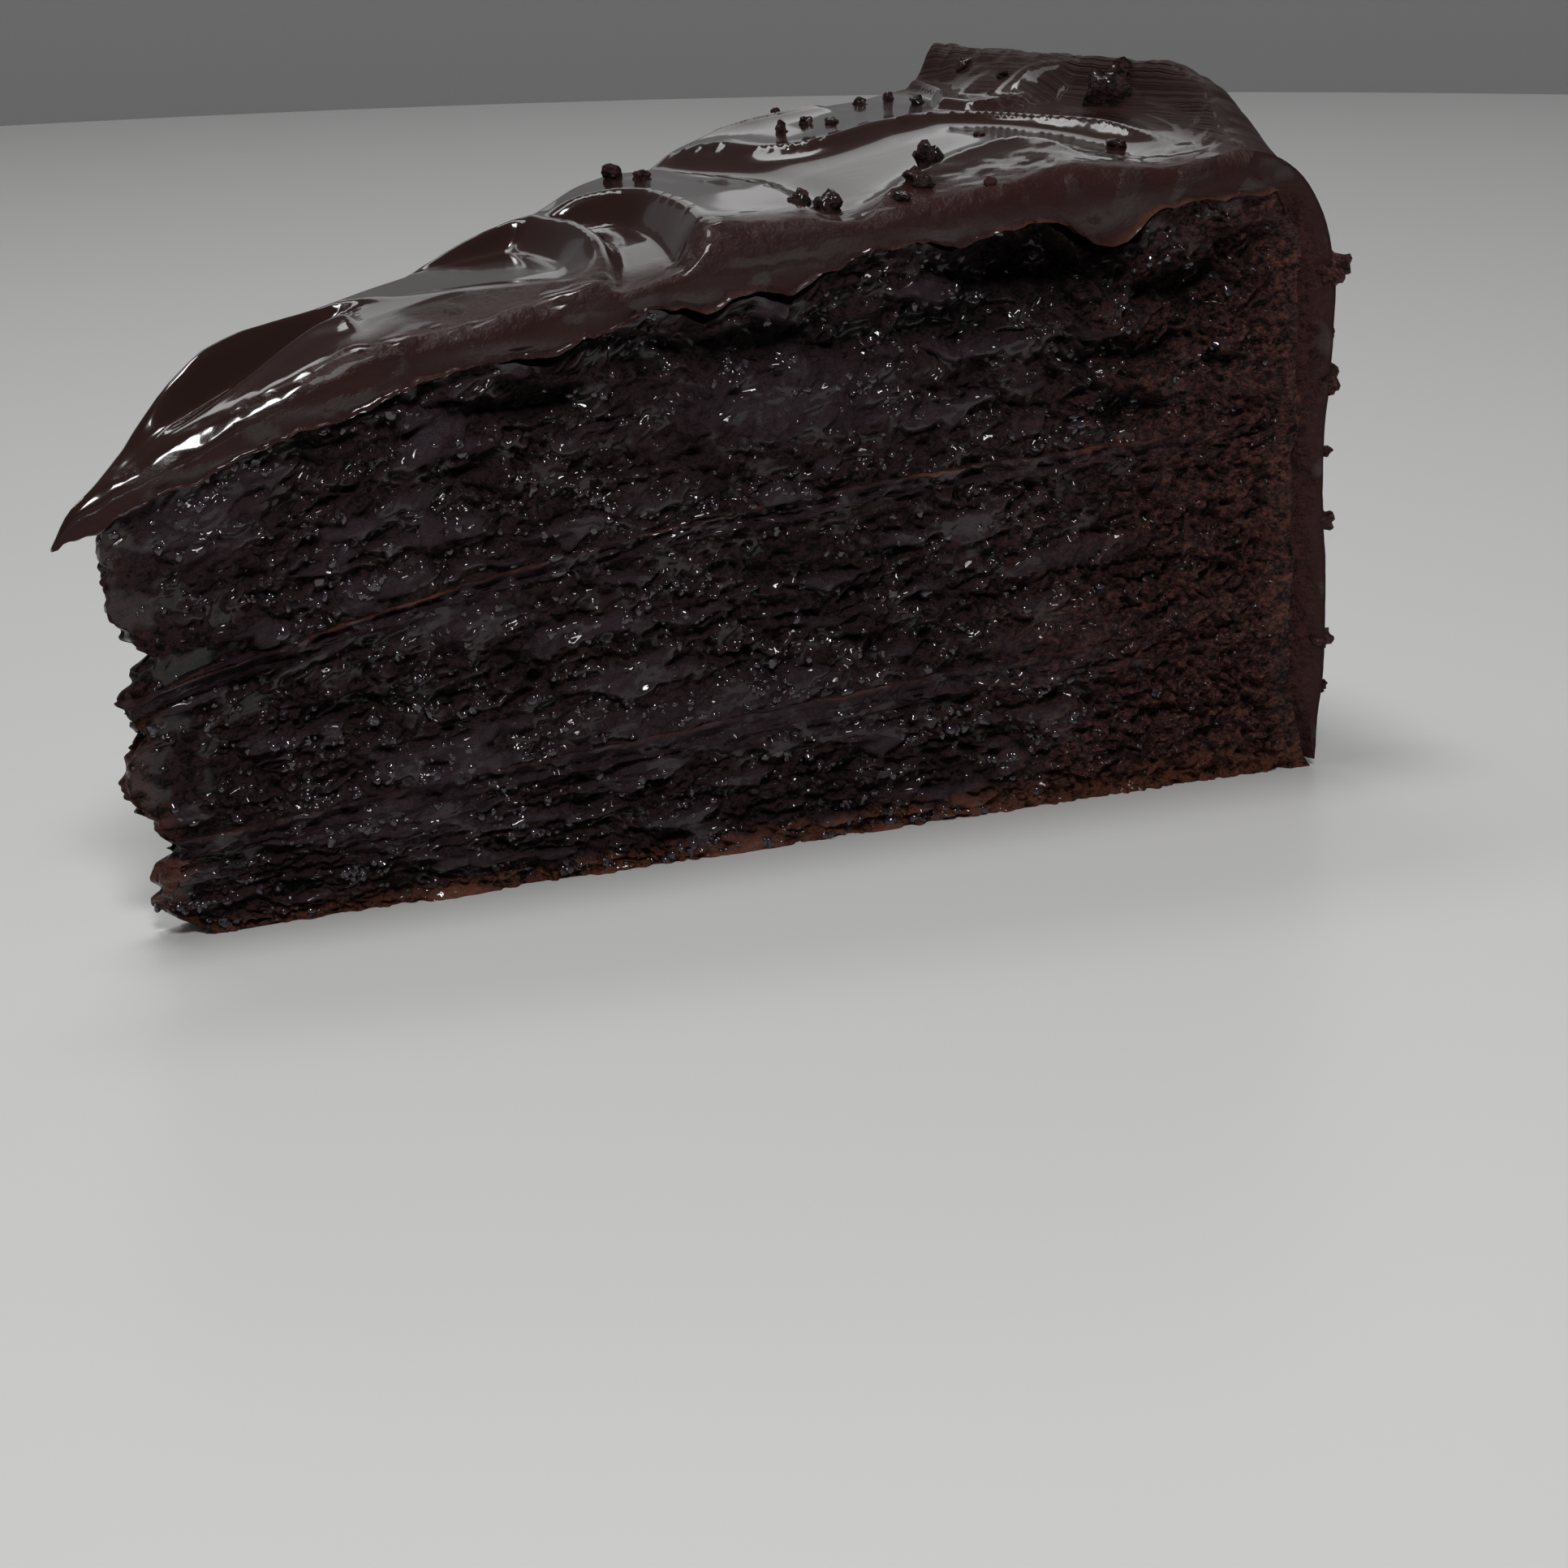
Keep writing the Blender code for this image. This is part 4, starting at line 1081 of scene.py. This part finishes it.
class CAKE_OT_fillings(Operator):
    """Build the two dark fillings that show at the cuts"""
    bl_idname = "cake.fillings"
    bl_label = "Make the fillings"

    def execute(self, context):
        sizes = context.scene.cake_sizes
        look = context.scene.frosting_look
        crumb = context.scene.sponge_look
        material = crumb_material("wet_chocolate_filling", crumb)
        # The last number says how strongly each filling's top edge is drawn in the crust colour:
        # a painted highlight where the raised edge catches the light.
        fillings = (("lower", LOWER_FILLING_TOP, sizes.lower_filling, 0.30),
                    ("upper", UPPER_FILLING_TOP, sizes.upper_filling, 1.00))
        for number, (name, line, thickness, browned) in enumerate(fillings):
            def floor_surface(radius, across):
                return filling_bottom(line, thickness, radius, across, sizes)

            def roof_surface(radius, across):
                return wavy_line(line, radius, across, sizes)

            radius, angle, height, level, share, sides, quads = layer_surface(
                sizes, FILLING_CUTS, floor_surface, roof_surface)
            points, masks = tear(sizes, crumb, radius, angle, height, level, share, sides,
                                 0.5 + number, thickness)
            flat = place(radius, angle, height, sizes)
            bulge = np.exp(-((level - 0.85) / 0.25) ** 2)
            keep = 0.80 - 0.35 * bulge * (1.0 - masks["dry"])
            points = flat + (points - flat) * keep[:, None]
            edge_highlight_patches = smooth_step(-0.25, 0.35, soft_noise(
                flat * MM / np.array([7.0, 7.0, 30.0]), look.seed + 9 + number))
            moist = 1.0 - smooth_step(0.3, 0.9, masks["dry"])
            masks["smear"] = np.maximum(masks["smear"], 0.85 * moist)
            # Painted highlight: a lighter brown line in the crust colour along the top edge, in
            # patches, where the raised edge of the filling catches the light.
            masks["crust"] = (browned * smooth_step(0.70, 0.95, level)
                              * (0.10 + 0.85 * edge_highlight_patches) * moist)
            piece = make_piece(f"{name}_filling_band", points, quads, material, masks)
            finish_piece(piece, f"filling_{name}")
        return {"FINISHED"}


def smooth_route(points):
    """A smooth route through the points, as many short straight steps."""
    knots = np.array(points)
    before = np.vstack([2 * knots[0] - knots[1], knots[:-1]])[:-1]
    after = np.vstack([knots[1:], 2 * knots[-1] - knots[-2]])[1:]
    route = []
    for a, b, c, d in zip(before, knots[:-1], knots[1:], after):
        for step in range(ROUTE_STEPS):
            t = step / ROUTE_STEPS
            route.append(0.5 * (2 * b + (c - a) * t + (2 * a - 5 * b + 4 * c - d) * t ** 2
                                + (3 * b - a - 3 * c + d) * t ** 3))
    route.append(knots[-1])
    return np.array(route)


def route_distance(x, y, points):
    """Signed distance to a route, positive on its left, and the share along it."""
    route = smooth_route(points)
    nearest = np.full(x.shape, 1.0)
    signed = np.full(x.shape, 1.0)
    along = np.zeros(x.shape)
    count = len(route) - 1
    for number, (start, end) in enumerate(zip(route[:-1], route[1:])):
        step_x, step_y = end - start
        length_squared = step_x ** 2 + step_y ** 2
        share = ((x - start[0]) * step_x + (y - start[1]) * step_y) / length_squared
        share = np.clip(share, 0.0, 1.0)
        away_x = x - start[0] - share * step_x
        away_y = y - start[1] - share * step_y
        distance = np.hypot(away_x, away_y)
        closer = distance < nearest
        side = np.where(step_x * away_y - step_y * away_x > 0.0, 1.0, -1.0)
        nearest = np.where(closer, distance, nearest)
        signed = np.where(closer, distance * side, signed)
        along = np.where(closer, (number + share) / count, along)
    return signed, along


def edge_rise(profile, radius):
    """How far the top stands above its dome along a cut, smooth between the points."""
    radii = np.array([point[0] for point in profile])
    rises = np.array([point[1] for point in profile])
    fine = np.linspace(0.0, EDGE_END, EDGE_STEPS)
    plain = np.interp(fine, radii, rises)
    window = np.hanning(EDGE_WINDOW)[1:-1]
    padded = np.pad(plain, len(window) // 2, mode="edge")
    soft = np.convolve(padded, window, mode="valid")
    return np.interp(radius, fine, soft / window.sum())


def swirl_height(x, y):
    """Height of the strokes on the frosting, and the distance across them."""
    height = np.zeros_like(x)
    for centre_x, centre_y, half_length, half_width, turn, depth in SPOON_HOLLOWS:
        angle = math.radians(turn)
        along = (x - centre_x) * math.cos(angle) + (y - centre_y) * math.sin(angle)
        beside = (y - centre_y) * math.cos(angle) - (x - centre_x) * math.sin(angle)
        reach = np.hypot(along / half_length, beside / half_width)
        height -= depth * np.exp(-reach ** 4)
    streak = np.zeros_like(x)
    weight_sum = np.full_like(x, 1e-6)
    for lift, left_width, right_width, points in CRESTS:
        signed, along = route_distance(x, y, points)
        width = np.where(signed > 0.0, left_width, right_width)
        ends = smooth_step(0.0, 0.15, along) * smooth_step(1.0, 0.85, along)
        height += lift * np.exp(-np.hypot(signed, CREST_SOFTNESS) / width) * ends
        weight = np.exp(-(signed / STREAK_REACH) ** 2)
        streak += weight * signed
        weight_sum += weight
    return height, streak / weight_sum


def scooped(offset, x, y, radius):
    """The top's rise with the second hollow and the pocket behind it sunk in."""
    east = x - SCOOP_START[0]
    north = y - SCOOP_START[1]
    reach = np.hypot(east, north)
    turn = np.degrees(np.arctan2(north, east))
    up_right = np.clip((reach - SCOOP_FLOOR) / (SCOOP_CREST - SCOOP_FLOOR), 0.0, None)
    up_far = np.clip((turn - SCOOP_FAR[1]) / (SCOOP_FAR[0] - SCOOP_FAR[1]), 0.0, None)
    inside = (smooth_step(1.0, 0.0, np.hypot(up_right, up_far))
              * smooth_step(*SCOOP_NEAR, turn) * smooth_step(0.0, 0.0040, reach))
    floor = SCOOP_RISE + SCOOP_SLOPE * (radius - SCOOP_RISE_RADIUS)
    offset = offset + (floor - offset) * inside
    signed, _ = route_distance(x, y, POCKET_EDGE)
    pocket = (smooth_step(0.0, POCKET_WALL, -signed) * smooth_step(*POCKET_NEAR, y)
              * smooth_step(SCOOP_CREST, SCOOP_CREST + POCKET_WALL, reach)
              * smooth_step(*POCKET_FAR, y))
    return offset + (POCKET_FLOOR - offset) * pocket


def lip_rise(radius, across, sizes):
    """The raised lip along the rim, highest on the far half."""
    fade = smooth_step(*LIP_FADE, across) * (1.0 - smooth_step(*LIP_BREAK, across))
    foot = np.interp(across, [point[0] for point in LIP_FOOT],
                     [point[1] for point in LIP_FOOT])
    crest_radius = sizes.side_face - rim_round(across)
    foot = np.minimum(foot, crest_radius - 0.0008)
    crest = smooth_step(0.0, 1.0, (radius - foot) / (crest_radius - foot))
    step = LIP_STEP * smooth_step(-0.0003, 0.0006, radius - foot)
    angle = across * sizes.wedge_angle / 2
    spots = np.stack([radius * np.cos(angle), radius * np.sin(angle),
                      np.zeros_like(radius)], axis=1) * MM
    ragged = LIP_RAGGED * (soft_noise(spots / 2.0, 90) + 0.6 * soft_noise(spots / 0.9, 91))
    return fade * (LIP_HEIGHT * np.maximum(crest, step) + ragged * crest)


def frosting_top(radius, across, sizes):
    """Height of the swirled top, and the distance across the strokes on it."""
    half = sizes.wedge_angle / 2
    x = radius * np.cos(across * half)
    y = radius * np.sin(across * half)
    dome = layer_line(FROSTING_TOP, radius, sizes)
    dome = dome - TIP_DROOP * np.exp(-radius / TIP_DROOP_REACH)
    opened = smooth_step(*TIP_RIM_END, radius)
    from_far = radius * half * (1.0 - across)
    far_share = np.exp(-(from_far / TIP_RIM_WIDTH) ** 3)
    far_share = far_share + (smooth_step(-1.0, 1.0, across) - far_share) * opened
    near_share = np.clip((1.0 - across) / 2, 0.0, 1.0)
    rise = (edge_rise(FAR_EDGE_RISE, radius) * far_share
            + edge_rise(NEAR_EDGE_RISE, radius) * near_share)
    swirl, streak = swirl_height(x, y)
    narrow = smooth_step(-1.02, -0.72, across) * smooth_step(1.02, 0.80, across)
    rise = rise + swirl * smooth_step(*SWIRL_START, radius) * (0.25 + 0.75 * narrow)
    start = np.interp(radius, SHOULDER_RADII, SHOULDER_START)
    drop = np.interp(radius, SHOULDER_RADII, SHOULDER_DROP) * smooth_step(0.002, 0.010, radius)
    beyond = np.clip((start - across) / (1.0 + start), 0.0, 1.0)
    spots = np.stack([x, y, np.zeros_like(x)], axis=1) * MM
    ripple = soft_noise(spots / 1.9, 94) + 0.6 * soft_noise(spots / 0.9, 95)
    rise = scooped(rise, x, y, radius) - drop * beyond ** SHOULDER_POWER
    ripple = ripple * smooth_step(-0.50, -0.85, across) * smooth_step(0.024, 0.032, radius)
    rise = rise + SHOULDER_RIPPLE * ripple
    return dome + rise + lip_rise(radius, across, sizes), streak


def rim_round(across):
    """Radius of the rounded rim, large by the near cut and small by the far one."""
    share = smooth_step(LIP_FADE[1], -1.0, across)
    return RIM_ROUND_FAR + (RIM_ROUND_NEAR - RIM_ROUND_FAR) * share


def frosting_outside(i, across, sizes):
    """Radius, height and stroke distance of the outside, from the tip to the base."""
    rounding = rim_round(across)
    rim_start = sizes.side_face - rounding
    top_share = np.clip(i / FROSTING_CUTS[0], 0.0, 1.0)
    top_radius = FROSTING_TIP + (rim_start - FROSTING_TIP) * top_share
    top_height, streak = frosting_top(top_radius, across, sizes)
    turn = math.pi / 2 * np.clip((i - FROSTING_CUTS[0]) / RIM_CUTS, 0.0, 1.0)
    radius = top_radius + rounding * np.sin(turn)
    height = top_height - RIM_ROUND_TALLNESS * rounding * (1.0 - np.cos(turn))
    side_share = np.clip((i - FROSTING_CUTS[0] - RIM_CUTS) / SIDE_CUTS, 0.0, 1.0)
    height = height + (COAT_BOTTOM - height) * side_share
    wave = SIDE_STROKE * np.sin(math.tau * height / SIDE_STROKE_SPACING
                                + SIDE_STROKE_LEAN * across)
    return radius + wave * (side_share > 0.0), height, streak, side_share


def frosting_inside(i, across, sizes):
    """Radius and height where the frosting lies on the sponge."""
    shoulder = coat_inside(TOP_SPONGE_TOP[0], sizes)[0]
    share = np.clip(i / FROSTING_CUTS[0], 0.0, 1.0)
    radius = FROSTING_TIP + (shoulder - FROSTING_TIP) * share
    height = (wavy_line(TOP_SPONGE_TOP, radius, across, sizes, EDGE_WILDNESS) + GAP
              - FROSTING_SAG * top_hollow(radius, across))
    down = np.clip((i - FROSTING_CUTS[0]) / (RIM_CUTS + SIDE_CUTS), 0.0, 1.0)
    height = height + (COAT_BOTTOM - height) * down
    return np.where(down > 0.0, coat_inside(height, sizes) - COAT_LAP, radius), height


def cut_skins(radius, across, edge, sizes):
    """How far each point moves with the near cut and with the far cut, from 0 to 1."""
    widest = np.minimum(CUT_SKIN, radius * math.sin(sizes.wedge_angle / 2))
    skin = np.clip(1.0 - edge / widest, 0.0, 1.0)
    return skin * (across < 0.0), skin * (across > 0.0)


def edge_drop(edge, across, thickness):
    """How far the rounded edges along the cuts lie below the top."""
    rounding = np.where(across < 0.0, NEAR_EDGE_ROUND, FAR_EDGE_ROUND)
    rounding = np.minimum(rounding, 0.45 * thickness.clip(0.0005, None))
    curve = np.clip(1.0 - edge / rounding, 0.0, 1.0)
    return rounding * (1.0 - np.sqrt(1.0 - curve ** 2))


def cut_relief(place_mm, radius, height, level, in_radius, on_side, near_skin, look, crumb):
    """Depth of the cut frosting, where crumb is dragged over it, and where it is smudged."""
    broad = soft_noise(place_mm / CUT_LUMPS, look.seed)
    fine = soft_noise(place_mm / CUT_GRAINS, look.seed + 1)
    lumpy = smooth_step(0.75, 0.15, level)
    depth = (CUT_DEPTH * (0.5 + 0.5 * broad)
             + (CUT_GRAIN_DEPTH[0] + CUT_GRAIN_DEPTH[1] * lumpy) * (0.5 + 0.5 * fine))
    lowest = smooth_step(0.12, 0.0, level)
    depth = depth * (1.0 - 0.7 * lowest)
    crumb_depth, _, _, _ = crumb_relief(place_mm * (1.0, 1.0, PATTERN_SQUASH), radius, height,
                                        near_skin, crumb)
    outer = smooth_step(*BOUNDARY_RADII, in_radius)
    beside = outer * smooth_step(0.95, 0.30, level + 0.25 * fine)
    boundary = smooth_step(0.30, 0.0, level) * outer
    depth = depth + beside * DRAGGED_CRUMB * crumb_depth
    tucked = COAT_TUCK * lowest * on_side
    depth = depth * (1.0 - boundary) + (BOUNDARY_DEPTH / MM + tucked) * boundary
    smudge = sum(oval(radius, height, spot, 2.0) for spot in SMUDGES) * near_skin
    ripples = soft_noise(place_mm / SMUDGE_RIPPLES, look.seed + 3)
    specks = soft_noise(place_mm / SMUDGE_SPECKS, look.seed + 4)
    ripple_depth, speck_depth, plain_depth = SMUDGE_DEPTH
    depth = depth + smudge * (ripple_depth * ripples + speck_depth * specks + plain_depth)
    return np.minimum(depth, DEEPEST_SHARE * radius), beside, smudge


def thin_edge(place_mm, radius, level, look):
    """Where the frosting's lower edge is thin and reddish, in ragged patches."""
    ragged = soft_noise(place_mm / FRINGE_TATTERS, look.seed + 2)
    patchy = smooth_step(-0.2, 0.5, soft_noise(place_mm / FRINGE_PATCH, look.seed + 6)
                         + 0.5 * smooth_step(0.050, 0.085, radius))
    fringe = smooth_step(0.22, 0.0, level + 0.12 * ragged)
    return fringe * (0.08 + 0.70 * patchy) * (0.35 + 0.65 * smooth_step(0.03, 0.07, radius))


class CAKE_OT_frosting(Operator):
    """Build the swirled frosting on the top and the coat on the round side"""
    bl_idname = "cake.frosting"
    bl_label = "Make the frosting"

    def execute(self, context):
        sizes = context.scene.cake_sizes
        look = context.scene.frosting_look
        crumb = context.scene.sponge_look
        shape = (FROSTING_CUTS[0] + RIM_CUTS + SIDE_CUTS + 1, FROSTING_CUTS[1] + 1,
                 FROSTING_CUTS[2] + 1)
        (i, j, k), quads = surface_grid(shape)
        even = 2.0 * j / FROSTING_CUTS[1] - 1.0
        across = np.sin(even * math.pi * ROW_CROWDING) / math.sin(math.pi * ROW_CROWDING)
        level = k / FROSTING_CUTS[2]
        out_radius, out_height, streak, side_share = frosting_outside(i, across, sizes)
        in_radius, in_height = frosting_inside(i, across, sizes)
        radius = in_radius + (out_radius - in_radius) * level
        height = in_height + (out_height - in_height) * level
        half = sizes.wedge_angle / 2
        points = place(radius, across * half, height, sizes)
        edge = radius * np.sin(half * (1.0 - np.abs(across)))
        near_skin, far_skin = cut_skins(radius, across, edge, sizes)
        drop = edge_drop(edge, across, out_height - in_height)
        points[:, 2] -= drop * level * (i <= FROSTING_CUTS[0])
        place_mm = points * MM
        on_side = side_share > 0.0
        depth, beside, smudge = cut_relief(place_mm, radius, height, level, in_radius, on_side,
                                           near_skin, look, crumb)
        points = (points + np.outer(depth * near_skin, inward(-1, sizes))
                  + np.outer(depth * far_skin, inward(1, sizes)))
        cut = np.maximum((j == 0) * 1.0, (j == FROSTING_CUTS[1]) * 1.0)
        fringe = thin_edge(place_mm, radius, level, look) * cut * (side_share == 0.0)
        comb = np.maximum(smooth_step(*COMB_RADII, radius), on_side)
        stroke = np.where(comb > 0.0, radius + 0.6 * height, streak)
        dull_width = 1e-6 + np.interp(radius, [spot[0] for spot in SHOULDER_DULL],
                                      [spot[1] for spot in SHOULDER_DULL])
        from_near = np.clip(1.0 - edge / dull_width, 0.0, 1.0) * (across < 0.0)
        cut_colour = np.maximum(cut, smooth_step(0.05, 0.60, from_near))
        wet_spots = smooth_step(0.18, 0.45, soft_noise(place_mm / WET_PATCH, look.seed + 7))
        smudge = np.maximum(smudge, 0.9 * wet_spots * (from_near > 0.0) * cut_colour)
        material = frosting_material(look, crumb.dry)
        piece = make_piece("frosting_coat", points, quads, material,
                           {"cut": cut_colour, "fringe": fringe, "streak": stroke,
                            "smudge": smudge, "crumby": beside * cut,
                            "comb": comb * (level == 1.0)})
        finish_piece(piece, "frosting")
        return {"FINISHED"}


def icosphere(cuts):
    """Points and triangles of a ball one unit across."""
    mesh = bpy.data.meshes.new("lump")
    maker = bmesh.new()
    bmesh.ops.create_icosphere(maker, subdivisions=cuts, radius=0.5)
    maker.to_mesh(mesh)
    maker.free()
    ball = np.array([vertex.co for vertex in mesh.vertices])
    faces = np.array([face.vertices for face in mesh.polygons])
    bpy.data.meshes.remove(mesh)
    return ball, faces


def lump_arrays(centres, sizes_list, seed, cuts, roughness):
    """Many small broken lumps as one set of points and triangles."""
    ball, faces = icosphere(cuts)
    chooser = np.random.default_rng(seed)
    points, triangles = [], []
    for number, (centre, size) in enumerate(zip(centres, sizes_list)):
        shift = chooser.uniform(0.0, 90.0, 3)
        broad = soft_noise(ball * 2.2 + shift, seed)
        fine = soft_noise(ball * 5.5 + shift, seed + 1)
        swell = 1.0 + roughness * (0.42 * broad + 0.22 * fine)
        stretch = chooser.uniform(0.75, 1.25, 3)
        turn = chooser.uniform(0.0, math.tau)
        spun = ball * swell[:, None] * stretch
        spun = np.stack([spun[:, 0] * math.cos(turn) - spun[:, 1] * math.sin(turn),
                         spun[:, 0] * math.sin(turn) + spun[:, 1] * math.cos(turn),
                         spun[:, 2]], axis=1)
        points.append(spun * size + centre)
        triangles.append(faces + number * len(ball))
    return np.concatenate(points), np.concatenate(triangles)


class CAKE_OT_crumbs(Operator):
    """Scatter the crumbs that fell on the frosting and cling to its side"""
    bl_idname = "cake.crumbs"
    bl_label = "Make the crumbs"

    def execute(self, context):
        sizes = context.scene.cake_sizes
        look = context.scene.frosting_look
        centres, widths = [], []
        for x, y, size in CRUMBS:
            radius = np.array([math.hypot(x, y)])
            across = np.arctan2(y, np.array([x])) / (sizes.wedge_angle / 2)
            height, _ = frosting_top(radius, across, sizes)
            rise = size * (0.5 - CRUMB_SINK) - CRUMB_BED
            rise -= LARGE_CRUMB_SINK * max(0.0, size - LARGE_CRUMB)
            centres.append((sizes.centre_x + x, y, height[0] + rise))
            widths.append(size)
        for turn, height, size in SIDE_SCRAPS:
            radius = sizes.side_face + size * SCRAP_STAND
            angle = math.radians(turn)
            centres.append((sizes.centre_x + radius * math.cos(angle),
                            radius * math.sin(angle), height))
            widths.append(size)
        points, triangles = lump_arrays(centres, widths, look.seed + 40, 3, 1.5)
        browned = np.repeat([0.3] * len(CRUMBS) + [0.9] * len(SIDE_SCRAPS),
                            len(points) // len(widths))
        # Here the hollow mask darkens the moist crumbs all over: their own darker tone, not
        # shade.
        masks = {"smear": np.zeros(len(points)), "dry": browned,
                 "crust": np.zeros(len(points)), "hollow": 0.35 * (1.0 - browned)}
        material = crumb_material("moist_chocolate_crumb", context.scene.sponge_look)
        piece = make_piece("fallen_crumbs", points, triangles, material, masks)
        finish_piece(piece, "frosting")
        return {"FINISHED"}


def plain_material(name, colour, roughness):
    """Even matt colour for the stage."""
    material = new_material(name)
    shader = principled(material)
    shader.inputs["Base Color"].default_value = (*colour, 1.0)
    shader.inputs["Roughness"].default_value = roughness
    return material


def area_lamp(name, power, width, depth, location, target):
    """A soft rectangular lamp aimed at a point."""
    light = bpy.data.lights.new(name, "AREA")
    light.shape = "RECTANGLE"
    light.size = width
    light.size_y = depth
    light.energy = power
    lamp = bpy.data.objects.new(name, light)
    lamp.location = location
    aim = Vector(target) - Vector(location)
    lamp.rotation_mode = "QUATERNION"
    lamp.rotation_quaternion = aim.to_track_quat("-Z", "Y")
    bpy.context.scene.collection.objects.link(lamp)


class CAKE_OT_stage(Operator):
    """Set up the pale floor, the grey wall, the lamps and the camera"""
    bl_idname = "cake.stage"
    bl_label = "Set up the stage"

    def execute(self, context):
        scene = context.scene
        look = scene.stage_look
        centre_x = scene.cake_sizes.centre_x
        corners = np.array([[-1, -1, 0], [1, -1, 0], [1, 1, 0], [-1, 1, 0]])
        floor = make_piece("pale_floor", corners * FLOOR_REACH, np.array([[0, 1, 2, 3]]),
                           plain_material("pale_floor", look.floor, FLOOR_ROUGHNESS))
        number = np.arange(WALL_SIDES)
        turns = number * math.tau / WALL_SIDES
        ring = np.stack([np.cos(turns), np.sin(turns), np.zeros(WALL_SIDES)], axis=1)
        ring = ring * WALL_RADIUS
        wall_points = np.concatenate([ring, ring + (0.0, 0.0, WALL_HEIGHT)])
        following = (number + 1) % WALL_SIDES
        wall_quads = np.stack([following, number, number + WALL_SIDES,
                               following + WALL_SIDES], axis=1)
        wall = make_piece("grey_wall", wall_points, wall_quads,
                          plain_material("grey_wall", look.wall, WALL_ROUGHNESS))
        for name, power, width, depth, spot in LAMPS:
            area_lamp(name, getattr(look, power), width, depth, spot, LAMP_TARGET)
        world = bpy.data.worlds.new("studio_air")
        world.use_nodes = True
        air = world.node_tree.nodes["Background"]
        air.inputs["Color"].default_value = (1, 1, 1, 1)
        air.inputs["Strength"].default_value = AIR_LIGHT
        scene.world = world
        scene.view_settings.view_transform = "Standard"
        data = bpy.data.cameras.new("photo_camera")
        data.sensor_width = SENSOR
        data.lens = SENSOR * PHOTO_FOCAL / PHOTO_SIDE
        data.clip_start = 0.01
        camera = bpy.data.objects.new("photo_camera", data)
        camera.location = Vector(CAMERA_PLACE) + Vector((centre_x, 0.0, 0.0))
        level = Vector(CAMERA_LOOK).to_track_quat("-Z", "Y")
        camera.rotation_mode = "QUATERNION"
        camera.rotation_quaternion = level @ Quaternion((0.0, 0.0, 1.0), -CAMERA_ROLL)
        scene.collection.objects.link(camera)
        scene.camera = camera
        return {"FINISHED"}


class CAKE_PT_panel(Panel):
    """Buttons and sizes of the cake slice"""
    bl_label = "Chocolate cake slice"
    bl_idname = "CAKE_PT_panel"
    bl_space_type = "VIEW_3D"
    bl_region_type = "UI"
    bl_category = "Cake"

    def draw(self, context):
        layout = self.layout
        for operator in OPERATORS:
            layout.operator(operator.bl_idname)
        for name in SETTINGS:
            group = getattr(context.scene, name)
            box = layout.box()
            for field in group.bl_rna.properties.keys():
                if field not in ("rna_type", "name"):
                    box.prop(group, field)


SETTINGS = {"cake_sizes": CakeSizes, "sponge_look": SpongeLook,
            "frosting_look": FrostingLook, "stage_look": StageLook}
OPERATORS = (CAKE_OT_stage, CAKE_OT_sponge_layers, CAKE_OT_fillings, CAKE_OT_frosting,
             CAKE_OT_crumbs)


def register():
    for name, settings in SETTINGS.items():
        bpy.utils.register_class(settings)
        setattr(bpy.types.Scene, name, PointerProperty(type=settings))
    for operator in OPERATORS:
        bpy.utils.register_class(operator)
    bpy.utils.register_class(CAKE_PT_panel)


def unregister():
    bpy.utils.unregister_class(CAKE_PT_panel)
    for operator in reversed(OPERATORS):
        bpy.utils.unregister_class(operator)
    for name, settings in reversed(SETTINGS.items()):
        delattr(bpy.types.Scene, name)
        bpy.utils.unregister_class(settings)


def main():
    register()
    bpy.ops.cake.stage()
    bpy.ops.cake.sponge_layers()
    bpy.ops.cake.fillings()
    bpy.ops.cake.frosting()
    bpy.ops.cake.crumbs()


if __name__ == "__main__":
    main()
